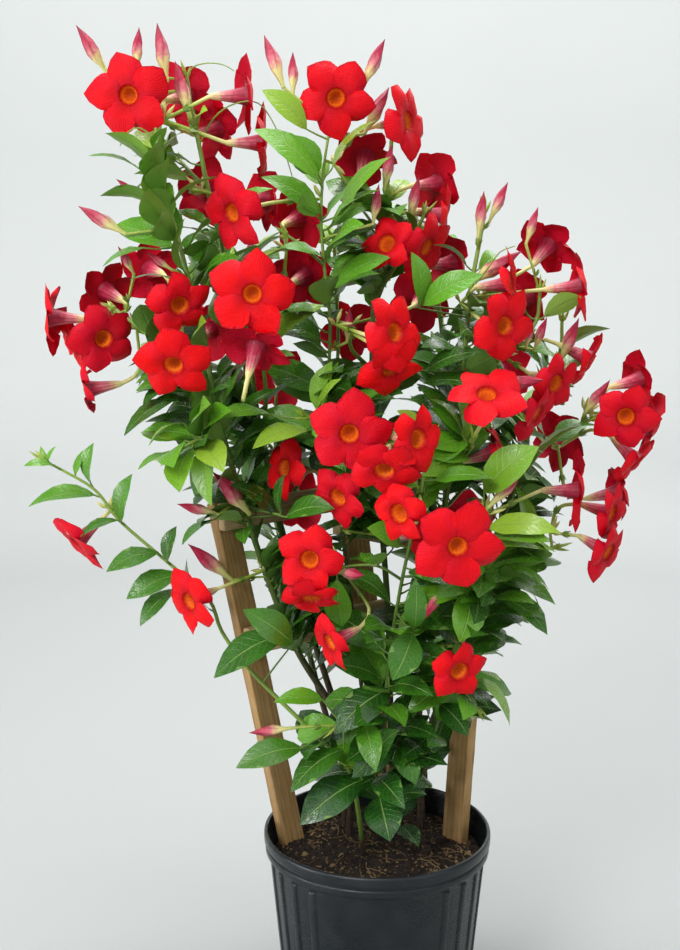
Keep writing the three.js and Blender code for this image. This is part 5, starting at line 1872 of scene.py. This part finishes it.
@dataclass
class Plan:
    """The whole plant's shoots, flowers and leaves, so that what is added keeps clear of what is there.

    Small says how many of the added leaves are small, and how small. Wide is where the foliage's left and right
    edges stand on the sheet, by rows. Bare names the strips of the sheet that stay clear of added leaves, each from
    a column, a row and half a width to a column and a row.
    """

    pitch: float = 23.0
    spare: float = 2.0
    apart: float = 5.0
    close: float = 4.0
    lowest: float = 214.0
    close_lowest: float = 470.0
    feet: tuple[float, float] = (150.0, 216.0)
    thick: tuple[float, float] = (4.8, 2.2)
    shoot_thick: tuple[float, float] = (2.8, 2.1)
    petiole: float = 11.0
    narrow: float = 3.0
    slimmest: float = 0.2
    fuller: float = 1.06
    beside: float = 110.0
    hides: float = 0.78
    seed: int = 12
    usual_leaf: float = 66.0
    sizes: tuple[float, float] = (0.84, 1.14)
    halves: tuple[float, float] = (0.22, 0.275)
    small: tuple[float, float] = (0.15, 0.7)
    swings: tuple[float, ...] = (0, 30, -30, 62, -62, 95)
    wide: tuple[tuple[float, float, float], ...] = (
        (70, 150, 210), (110, 132, 250), (150, 130, 300), (200, 128, 455), (260, 118, 480), (310, 128, 520),
        (350, 130, 560), (400, 128, 590), (450, 150, 580), (500, 186, 560), (560, 196, 556), (610, 206, 548),
        (660, 214, 512), (710, 236, 506), (750, 262, 490), (800, 290, 440),
    )
    bare: tuple[tuple[Place, tuple[float, float]], ...] = (
        ((228, 530, 26), (292, 840)), ((470, 740, 20), (456, 840)), ((362, 538, 20), (372, 606)),
        ((394, 548, 13), (398, 604)), ((302, 655, 15), (330, 712)),
    )
    branches: list[Branch] = field(default_factory=list)
    flowers: dict[str, list[Flower]] = field(default_factory=dict)
    leaves: dict[str, list[Leaf]] = field(default_factory=dict)

    def __post_init__(self) -> None:
        """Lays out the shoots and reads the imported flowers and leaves."""
        for name, stem in STEMS.items():
            for i, shoot in enumerate(stem.shoots):
                path = [SHEET.at(place) for place in shoot.path]
                if i == 0:
                    path = [np.array([*stem.foot, z]) for z in self.feet] + path
                thick = np.linspace(*(self.shoot_thick if i else self.thick), len(path))
                self.branches.append(Branch(name, Line(np.array(path), thick), i == 0, shoot))
        for node in sorted(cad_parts):
            if node.startswith("bloom_"):
                self.flowers[node] = read_flowers(Packed(node))
            if node.startswith("leafy_stem_"):
                self.leaves[node.removeprefix("leafy_stem_")] = self.read_leaves(node)
        LOG.info("flowers %d, leaves %d", sum(map(len, self.flowers.values())), sum(map(len, self.leaves.values())))
        self.fill()

    def root_near(self, target: Array, stem: str | None = None) -> tuple[Branch, float]:
        """Finds the shoot that a growth leaves.

        Args:
            target: The point that the growth heads for.
            stem: The only stem to look at, if any.

        Returns:
            The shoot and the distance along it.
        """
        found = [(*b.seat(target), k) for k, b in enumerate(self.branches) if stem in (None, b.stem)]
        _, distance, k = min(found)
        return self.branches[k], distance

    def age(self, branch: Branch, distance: float, z: float, tint: float) -> float:
        """Tells how old a leaf is.

        Args:
            branch: The shoot that bears it.
            distance: The distance along it.
            z: The leaf's height.
            tint: The leaf's tint.

        Returns:
            Its age, from 0 on a new tip to 1.
        """
        left = branch.line.lengths()[-1] - distance
        tip, middle, top = (95, 5), (260, 560), (800, 1150)
        new = (0.55 * smooth(left, *tip) + 0.16) * smooth(z, *middle) + 0.4 * smooth(z, *top)
        return float(np.clip(1 - new * (0.55 + 0.75 * tint) - 0.35 * smooth(tint, 0.88, 1), 0, 1))

    def read_leaves(self, node: str) -> list[Leaf]:
        """Reads a packed stem's leaves.

        Args:
            node: The stem's node.

        Returns:
            Its leaves.
        """
        solid, found = Packed(node), []
        stem = node.removeprefix("leafy_stem_")
        draws = np.random.default_rng(len(solid.points))
        for tip, near in enumerate(solid.near):
            if len(near) != 3 or any(len(solid.near[i] & near) != 2 for i in near):
                continue
            rings = solid.rings_from(tip, self.narrow)
            if len(rings) < 3 or len(rings[-1]) != 3:
                continue
            sets = []
            for i, j, k in rings:
                pair = max(((i, j, k), (j, k, i), (i, k, j)), key=lambda r: solid.gap(r[0], r[1]))
                sets.append(solid.points[list(pair)])
            base = (sets[-1][0] + sets[-1][1]) / 2
            end = solid.points[tip]
            along = unit(end - base)
            up = sets[0][2] - (sets[0][0] + sets[0][1]) / 2
            up = unit(up - along * np.dot(up, along))
            widths = [size_of(a - b) / 2 for a, b, _ in sets[:-1]]
            branch, distance = self.root_near(base - along * self.petiole, stem)
            root, tint = branch.line.spot(distance)[0], float(draws.random())
            age = self.age(branch, distance, end[2], tint)
            length = size_of(end - base)
            half = max(*widths, self.slimmest * length) * self.fuller
            found.append(Leaf(base, along, up, length, half, root, age, tint))
        return found

    def is_open(self, leaf: Leaf, taken: Array, apart: float) -> bool:
        """Whether a new leaf has room where it stands and hides no flower.

        Args:
            leaf: The leaf.
            taken: The points of each leaf that is there.
            apart: How far it keeps from them.

        Returns:
            Whether it may stay.
        """
        points = leaf.samples()
        low, high = (np.array(corner) / MM for corner in CAD_BOX)
        if (points < low + 2).any() or (points > high - 2).any() or points[:, 2].min() < self.lowest:
            return False
        seen = SHEET.seen(points)
        column, row = seen.T
        rows, left, right = np.array(self.wide).T
        if ((row < rows[0]) | (row > rows[-1])).any():
            return False
        if ((column < np.interp(row, rows, left)) | (column > np.interp(row, rows, right))).any():
            return False
        for (x0, y0, half), (x1, y1) in self.bare:
            middle = np.interp(row, (y0, y1), (x0, x1))
            if ((np.abs(column - middle) < half) & (row > y0) & (row < y1)).any():
                return False
        near = taken[np.linalg.norm(taken[:, 2] - points[2], axis=1) < self.beside]
        if len(near) and np.linalg.norm(near.reshape(-1, 1, 3) - points[None], axis=2).min() < apart:
            return False
        for flower in (flower for flowers in self.flowers.values() for flower in flowers):
            before = points[:, 1] < flower.mouth[1] + 12
            aside = np.linalg.norm(seen - SHEET.seen(flower.mouth[None])[0], axis=1)
            if flower.touches(points, self.spare) or (before & (aside < flower.reach() * self.hides)).any():
                return False
        return True

    def fill(self) -> None:
        """Adds leaves in pairs along the shoots wherever there is room, and then closer ones between them."""
        draws = np.random.default_rng(self.seed)
        taken = np.array([leaf.samples() for leaves in self.leaves.values() for leaf in leaves])
        rounds = ((self.apart, 0.0, self.lowest), (self.close, self.pitch / 2, self.close_lowest))
        for apart, shift, low in rounds:
            for branch, n, distance in self.spots(shift):
                for opposite in (0, 180):
                    for leaf in self.tries(branch, distance, 45 + 90 * n + opposite + 2 * shift, draws):
                        if self.is_open(leaf, taken, apart) and leaf.base[2] > low:
                            self.leaves[branch.stem].append(leaf)
                            taken = np.concatenate([taken, leaf.samples()[None]])
                            break
            LOG.info("leaves with what was added: %d", sum(map(len, self.leaves.values())))

    def spots(self, shift: float) -> list[tuple[Branch, int, float]]:
        """Lists where leaves may be added.

        Args:
            shift: How far the first spot of each shoot is shifted along it.

        Returns:
            Each spot's shoot, its number on it and the distance along it.
        """
        found = []
        for branch in self.branches:
            total = branch.line.lengths()[-1]
            leafless = 0.1 if branch.stem == "front_centre" else 0.3
            start, end = leafless * total if branch.rooted else 14.0, total - 6
            found += [(branch, n, at) for n, at in enumerate(np.arange(start + shift, end, self.pitch))]
        return found

    def tries(self, branch: Branch, distance: float, turn: float, draws: np.random.Generator) -> list[Leaf]:
        """Lays out one leaf in several directions round a shoot.

        Args:
            branch: The shoot.
            distance: The distance along it.
            turn: The leaf's turn round it, in degrees.
            draws: The source of its unevenness.

        Returns:
            The leaf in each direction, the likeliest first.
        """
        spot, tangent = branch.line.spot(distance)
        aside = unit(np.cross(tangent, UP if abs(tangent[2]) < 0.9 else np.array([1.0, 0, 0])))
        size, (few, small) = (branch.shoot.leaf or self.usual_leaf) * draws.uniform(*self.sizes), self.small
        size *= small if draws.random() < few else 1
        half, roll = size * draws.uniform(*self.halves), draws.uniform(-34, 34)
        tint, droop = draws.random(), draws.random()
        found = []
        for swing in self.swings:
            out = round_about(tangent, aside, math.radians(turn + roll + swing))
            along = unit(out + tangent * (0.25 + 0.4 * tint) + UP * (0.12 - 0.35 * droop))
            base = spot + along * 13
            up = UP * 0.8 + unit(np.array([base[0], base[1] - TRELLIS_Y, 1e-3])) * (0.3 + 0.6 * droop)
            up = unit(up - along * np.dot(up, along))
            found.append(Leaf(base, along, up, size, half, spot, self.age(branch, distance, base[2], tint), tint))
        return found


@dataclass(frozen=True)
class Throat:
    """How a packed flower's throat is known: its depth, and how far its bottom is from the mouth's corners.

    A petal whose own can't be read has the heart and the corners given here.
    """

    depth: float = 24.0
    slant: float = 26.61
    slack: float = 0.2
    heart: Place = (36.0, 22.0, 1.5)
    heart_radius: float = 13.0
    heart_lift: float = -6.0
    corners: tuple[Place, ...] = ((9.0, 31.0, 3.0), (29.0, 40.0, -1.0), (61.0, 33.0, -5.0))


THROAT = Throat()


def read_flowers(solid: Packed) -> list[Flower]:
    """Reads the flowers of a packed bloom.

    Args:
        solid: The bloom.

    Returns:
        Its flowers.
    """
    found = []
    for throat, near in enumerate(solid.near):
        if len(near) != 5 or any(abs(solid.gap(throat, j) - THROAT.slant) > THROAT.slack for j in near):
            continue
        notches = list(near)
        axis = unit(solid.points[notches].mean(axis=0) - solid.points[throat])
        mouth = solid.points[throat] + axis * THROAT.depth
        flower = Flower(mouth, axis, [], (len(found) * 0.37 + mouth[2] * 0.013) % 1.0)

        def polar(i: int) -> Place:
            """A corner's turn in degrees, radius and lift."""
            x, y, lift = ((solid.points[i] - mouth) @ way for way in (*flower.frame(), axis))
            return math.degrees(math.atan2(y, x)) % 360, math.hypot(x, y), float(lift)

        notches.sort(key=lambda i: polar(i)[0])
        for i, a in enumerate(notches):
            b, start = notches[(i + 1) % 5], polar(a)[0]
            shared = [(h, polar(h)) for h in solid.near[a] & solid.near[b] if h != throat]
            hearts = [h for h, (_, r, lift) in shared if lift > THROAT.heart_lift and r > THROAT.heart_radius]
            corners, heart = [], THROAT.heart
            if hearts:
                turn, radius, lift = polar(hearts[0])
                heart = ((turn - start) % 360, radius, lift)
                corners = [polar(c) for c in solid.near[hearts[0]] - {a, b}]
                corners = sorted(((turn - start + 20) % 360 - 20, radius, lift) for turn, radius, lift in corners)
            if len(corners) != 3 or corners[0][0] < 0 or corners[2][0] > 75:
                corners = []
            flower.lobes.append(Lobe(start, corners, heart))
        known = [lobe.corners for lobe in flower.lobes if lobe.corners]
        middle = np.mean(known, axis=0) if known else THROAT.corners
        for lobe in flower.lobes:
            lobe.corners = lobe.corners or [tuple(row) for row in middle]
        found.append(flower)
    return found


# ---- plant pieces
@dataclass(frozen=True)
class Kit:
    """The trees, shapes and materials that the plant's pieces share."""

    tube: Nodes
    scatter: Nodes
    blades: Shapes
    buds: Shapes
    calyx: Shapes
    leaf: Coat
    stem: Coat
    petal: Coat
    throat: Coat


SLIM = ("spray", "front_centre", "top_centre")  # stems thinner than the others


@dataclass(frozen=True)
class Foliage:
    """One leafy stem with its shoots, leaves, buds and twining tips."""

    name: str
    slim: float = 0.66
    tips: int = 4
    tip_bud: int = 3
    tip_half: float = 1.9
    stalk: tuple[float, ...] = (1.3, 1.1, 1.0, 0.6)
    bud_stalk: tuple[float, ...] = (1.3, 1.5, 1.9, 1.6)
    cup: float = 9.0
    narrow: float = 4.2
    bud_back: float = 14.0

    def build(self, plan: Plan, kit: Kit) -> Piece:
        """Grows the stem.

        Args:
            plan: The plant's layout.
            kit: The shared trees, shapes and materials.

        Returns:
            The leafy stem.
        """
        stems, tubes, blades, buds, cups, tips = Paths(), Paths(), Places(), Places(), Places(), Places()
        for branch in (b for b in plan.branches if b.stem == self.name):
            line = branch.line.rounded(9)
            line.radii = line.radii * (self.slim if self.name in SLIM else 1)
            share = line.lengths() / line.lengths()[-1]
            age = 1.05 - 0.95 * share if branch.rooted else 0.42 - 0.3 * share
            if self.name == "spray":
                age = 0.3 - 0.2 * share + 0.7 * smooth(share, 0.16, 0.08)
            stems.add(line, age)
            end, tangent = line.points[-1], unit(line.points[-1] - line.points[-3])
            aside = unit(np.cross(tangent, UP + 0.1))
            for k in range(self.tips):
                out = round_about(tangent, aside, math.tau * k / self.tips + end[0])
                along = unit(tangent + out * (0.25 + 0.1 * k))
                size = (self.tip_half, self.tip_half, 11 + 4 * ((end[2] * 0.7 + k * 3) % 4))
                tips.add(end - tangent * 2, upright(along, unit(np.cross(along, out))), size, self.tip_bud)
        for path in TWINERS.get(self.name, ()):
            points = np.array([SHEET.at(place) for place in path])
            line = Line(points, np.linspace(1.0, 0.6, len(points))).rounded(6)
            stems.add(line, np.full(len(line.points), 0.1))
        for n, leaf in enumerate(plan.leaves[self.name]):
            if self.name == "spray":
                leaf.up = unit(leaf.up + [0, -0.9, 0.2])
                leaf.up = unit(leaf.up - leaf.dir * np.dot(leaf.up, leaf.dir))
            axes = (leaf.side(), leaf.dir, leaf.up)
            blades.add(leaf.base, axes, (leaf.half, leaf.length, leaf.length), n % 5, leaf.tint, leaf.age)
            middle = (leaf.root + leaf.base) / 2 - leaf.up * 0.8
            foot = np.array([leaf.root, middle, leaf.base, leaf.base + leaf.dir * 6 + leaf.up * 2.0])
            stems.add(Line(foot, np.array(self.stalk)), np.full(4, 0.2 + 0.2 * leaf.age))
        for tip, neck, belly, root in self.read_buds(plan):
            along, length = unit(tip - neck), size_of(tip - neck)
            side = athwart(along)
            buds.add(neck, upright(along, side), (belly, belly, length), len(buds.rows) % 3)
            foot = np.array([root, (root + neck) / 2 + UP * 0.6, neck, neck + along * length * 0.1])
            line = Line(foot, np.array(self.bud_stalk)).rounded(7)
            tubes.add(line, np.linspace(1.0, 0.72, len(line.points)))
            axes = (side, np.cross(along, side), unit(neck - root))
            cups.add(root + (neck - root) * 0.35, axes, (self.cup,) * 3, age=0.25)
        parts = [
            stems.grow("stems", kit.tube, 7, kit.stem),
            blades.grow("blades", kit.scatter, kit.blades, kit.leaf),
            tips.grow("tips", kit.scatter, kit.buds, kit.throat),
        ]
        if buds.rows:
            parts += [
                buds.grow("buds", kit.scatter, kit.buds, kit.throat),
                tubes.grow("bud tubes", kit.tube, 7, kit.throat),
                cups.grow("bud cups", kit.scatter, kit.calyx, kit.stem),
            ]
        piece = joined("foliage_" + self.name, parts)
        return finished(clipped(piece), Slot.LEAFY_STEM, "leafy_stem_" + self.name)

    def read_buds(self, plan: Plan) -> list[tuple[Array, Array, float, Array]]:
        """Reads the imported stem's buds.

        Args:
            plan: The plant's layout.

        Returns:
            Each bud's tip, its neck, its belly's radius and its root on the stem.
        """
        solid, found = Packed("leafy_stem_" + self.name), []
        for tip, near in enumerate(solid.near):
            gaps = [solid.gap(tip, j) for j in near]
            if len(near) != 4 or max(gaps) - min(gaps) > 0.25 or min(gaps) < 8:
                continue
            rings = solid.rings_from(tip, self.narrow)
            if len(rings) < 2 or len(rings[1]) != 4:
                continue
            belly, neck = (solid.points[ring].mean(axis=0) for ring in rings[:2])
            wide = float(np.linalg.norm(solid.points[rings[0]] - belly, axis=1).mean())
            back = neck - unit(solid.points[tip] - neck) * self.bud_back
            branch, distance = plan.root_near(back, self.name)
            found.append((solid.points[tip], neck, wide, branch.line.spot(distance)[0]))
        return found


def clipped(piece: Piece) -> Piece:
    """Keeps a piece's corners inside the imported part's box.

    Args:
        piece: The piece.

    Returns:
        The same piece.
    """
    places = np.empty(len(piece.data.vertices) * 3)
    piece.data.vertices.foreach_get("co", places)
    low, high = (np.array(corner) for corner in CAD_BOX)
    piece.data.vertices.foreach_set("co", np.clip(places.reshape(-1, 3), low, high).ravel())
    piece.data.update()
    return piece


@dataclass(frozen=True)
class Bloom:
    """The flowers of one spray, with their tubes and the stalk that they share.

    Edge says how full a petal's rim is at places between its five knots. Steps are the rows of corners across it.
    """

    node: str
    mouth: float = 11.6
    neck: float = 42.0
    tube: float = 26.0
    run: float = 20.0
    hub: float = 0.35
    straight: float = 0.75
    petal: float = 0.55
    lap: float = 0.4
    spread: float = 1.04
    steps: tuple[float, ...] = (0, 0.16, 0.38, 0.62, 0.84, 1)
    columns: int = 20
    buds: int = 4
    bud: int = 4
    bud_half: float = 2.3
    cup: float = 10.0
    edge: tuple[tuple[float, float], ...] = (
        (0, 1), (0.6, 1.03), (1, 1), (1.5, 1.045), (2, 1), (2.4, 1.04), (2.75, 1.045), (3.1, 1.01), (4, 1),
    )

    def petals(self, flower: Flower, skin: Skin) -> None:
        """Makes a flower's five petals.

        Args:
            flower: The flower.
            skin: The mesh that they are added to.
        """
        across, over = flower.frame()
        (stops, plump), count = np.array(self.edge).T, len(self.edge)
        for k, lobe in enumerate(flower.lobes):
            (a1, r1, l1), (a2, r2, l2), (a3, r3, l3) = lobe.corners
            draws = np.random.default_rng(int(abs(flower.mouth[0]) * 7 + abs(flower.mouth[2])) * 5 + k)
            knots = [(-7, 0.74 * r1), (a1 - 4, r1 * 0.98), (a2, r2 * 1.02), (a3 + 2, r3), (79, 0.8 * r3)]
            knots = np.array([(r * math.cos(math.radians(a)), r * math.sin(math.radians(a))) for a, r in knots])
            edge = np.stack([np.interp(stops, range(5), column) for column in knots.T]) * plump
            turn, reach = np.degrees(np.arctan2(edge[1], edge[0])) + draws.uniform(-1, 1, count), np.hypot(*edge)
            lift = np.interp(turn, (9, 29, 61), (l1 + 0.5, l2, l3))
            start, share = np.linspace(0, 72, count), np.linspace(-1, 1, count)
            rows, notes = [], []
            phase, wavy, roll = draws.uniform(0, 6), draws.uniform(0.8, 2.6), draws.uniform(1.0, 4.0)
            for v in self.steps:
                angle = np.radians(lobe.start + start + (turn - start) * smooth(v, 0, 0.42))
                radius = self.mouth - self.lap + (reach * self.spread - self.mouth + self.lap) * v
                swell = (lobe.heart[2] - 0.4 * lift) * 1.3 * 4 * v * (1 - v) * (1 - 0.5 * share**2)
                wave = wavy * np.sin(share * 3.6 + phase) * v * v + 0.5 * np.sin(share * 9 + phase * 2) * v
                curl = roll * smooth(v, 0.6, 1) + 1.6 * np.abs(share) ** 3 * v
                high = lift * v**1.4 + swell + wave - curl
                place = np.outer(radius * np.cos(angle), across) + np.outer(radius * np.sin(angle), over)
                rows.append(flower.mouth + place + np.outer(high - 0.3, flower.axis))
                notes.append(np.stack([share, np.full(count, v)], axis=1))
            points, faces, note = thin_shell(np.array(rows), np.array(notes), self.petal)
            none = np.zeros(len(points))
            skin.add(points, faces, 0, petal=note, tint=none + flower.tint, age=none, fold=none)

    def funnel(self, flower: Flower, skin: Skin) -> None:
        """Makes a flower's funnel: its outer wall, and its golden inner wall.

        Args:
            flower: The flower.
            skin: The mesh that it is added to.
        """
        outer = [(2.6, -43), (4, -38), (5.2, -31), (6.3, -23), (7.6, -15), (9.4, -7.5), (11.2, -2), (12, -0.7)]
        inner = [
            (11.5, 0.1), (10.5, -1.6), (9.3, -3.6), (8, -6.4), (6.3, -9.6), (4.2, -12.2), (2, -13.4), (0.3, -12.6),
        ]
        points, faces = spun(outer + inner, self.columns)
        across, over = flower.frame()
        local = np.outer(points[:, 0], over) + np.outer(points[:, 1], across) + np.outer(points[:, 2], flower.axis)
        deep, corner = points[:, 2], np.arange(len(points))
        streak, is_inner = (corner % 2).astype(float), corner >= len(outer) * self.columns
        streaks, throat, lip, tube = 22, 15, 0.02, 95
        out, side = np.where(is_inner, deep / throat, lip), np.where(is_inner, 1, -1)
        note = np.column_stack([streak / streaks, out, side])
        split = (len(outer) - 1) * self.columns
        tint, age = np.full(len(points), flower.tint), np.clip(-deep / tube, 0, 1)
        skin.add(flower.mouth + local, faces, 0, petal=note, tint=tint, age=age, fold=streak)
        for i in [*range(split), len(faces) - 2]:
            skin.slots[len(skin.slots) - len(faces) + i] = 1

    def build(self, plan: Plan, kit: Kit) -> Piece:
        """Makes the flowers.

        Args:
            plan: The plant's layout.
            kit: The shared trees, shapes and materials.

        Returns:
            The spray of flowers.
        """
        flowers = plan.flowers[self.node]
        skin, tubes, cups, buds = Skin(), Paths(), Places(), Places()
        middle = np.mean([f.behind(self.neck + self.tube + self.run) for f in flowers], axis=0)
        branch, distance = plan.root_near(middle)
        core = branch.line.spot(distance)[0]
        alone = len(flowers) == 1
        root = core + unit((flowers[0].behind(self.neck) if alone else middle) - core)
        hub = root if alone else root + (middle - root) * self.hub
        for flower in flowers:
            self.petals(flower, skin)
            self.funnel(flower, skin)
            neck = flower.behind(self.neck)
            toward = unit(neck - hub)
            path = [flower.behind(self.neck - 3), neck]
            if np.dot(toward, flower.axis) < self.straight:
                path.append(neck - unit(flower.axis + toward * 0.8) * self.tube)
            path.append(hub)
            line = Line(np.array(path), np.linspace(3.0, 1.7, len(path))).rounded(7)
            run, foot = line.lengths(), 0.62
            tubes.add(line, 0.44 + 0.56 * smooth(run / run[-1], 0.05, foot))
            spot, _ = line.spot(run[-1] * foot)
            ahead = unit(line.spot(run[-1] * 0.55)[0] - spot)
            cups.add(spot, upright(ahead, athwart(ahead)), (self.cup,) * 3, age=0.25)
        toward = unit(flowers[0].behind(self.neck) - hub)
        aside = unit(np.cross(toward, UP + 0.1))
        for k in range(self.buds):
            out = round_about(toward, aside, 2.1 * k + hub[2])
            along = unit(toward * 0.5 + out * 0.8 + UP * 0.7)
            size = (self.bud_half, self.bud_half, 15 + 5 * ((hub[0] * 0.7 + k * 2) % 2))
            buds.add(hub + along, upright(along, unit(np.cross(along, out))), size, self.bud)
        if not alone:
            tubes.add(Line(np.array([hub, (hub + root) / 2, root]), np.array([1.8, 1.8, 1.9])), np.ones(3))
        parts = [
            skin.build("petals", (kit.petal, kit.throat), 58),
            tubes.grow("tubes", kit.tube, 8, kit.throat),
            cups.grow("cups", kit.scatter, kit.calyx, kit.stem),
            buds.grow("small buds", kit.scatter, kit.buds, kit.throat),
        ]
        piece = joined("flowers_" + self.node.removeprefix("bloom_"), parts)
        return finished(clipped(piece), Slot.BLOOM, self.node)


def main() -> None:
    """Builds the studio and the part, piece by piece."""
    logging.basicConfig(level=logging.INFO, format="%(name)s: %(message)s")
    Studio().build()
    effects, scatter, tube = Effects(), scatter_tree(), tube_tree()
    Pot().build(scatter, PotFinish().make(effects))
    Soil().build(strewn_tree(), tube, SoilFinish("soil").make(effects), SoilFinish("soil litter").make(effects))
    stake_wood = WoodFinish("stake wood", paint("b38d56"), paint("86633a"), paint("573e24")).make(effects)
    lath_wood = WoodFinish("lath wood", paint("c7ab7f"), paint("a88a5e"), paint("7a6040")).make(effects)
    steel, heads = NailFinish().make(effects), shapes_of("nail_head", [nail_head()])
    for node in sorted(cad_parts):
        if node.startswith("stake_"):
            Board(node, Slot.STAKE).build(stake_wood, steel, scatter, heads)
        if node.startswith("lath_"):
            Board(node, Slot.LATH, nails=True).build(lath_wood, steel, scatter, heads)
    blades, buds = [leaf_blade(*blade) for blade in BLADES], [bud_shape(*bud) for bud in BUDS]
    shapes = shapes_of("blade", blades), shapes_of("bud", buds), shapes_of("calyx", [calyx_shape()])
    coats = [finish().make(effects) for finish in (LeafFinish, StemFinish, PetalFinish, TubeFinish)]
    kit, plan = Kit(tube, scatter, *shapes, *coats), Plan()
    for name in STEMS:
        Foliage(name).build(plan, kit)
    for node in plan.flowers:
        Bloom(node).build(plan, kit)


if __name__ == "__main__":
    main()
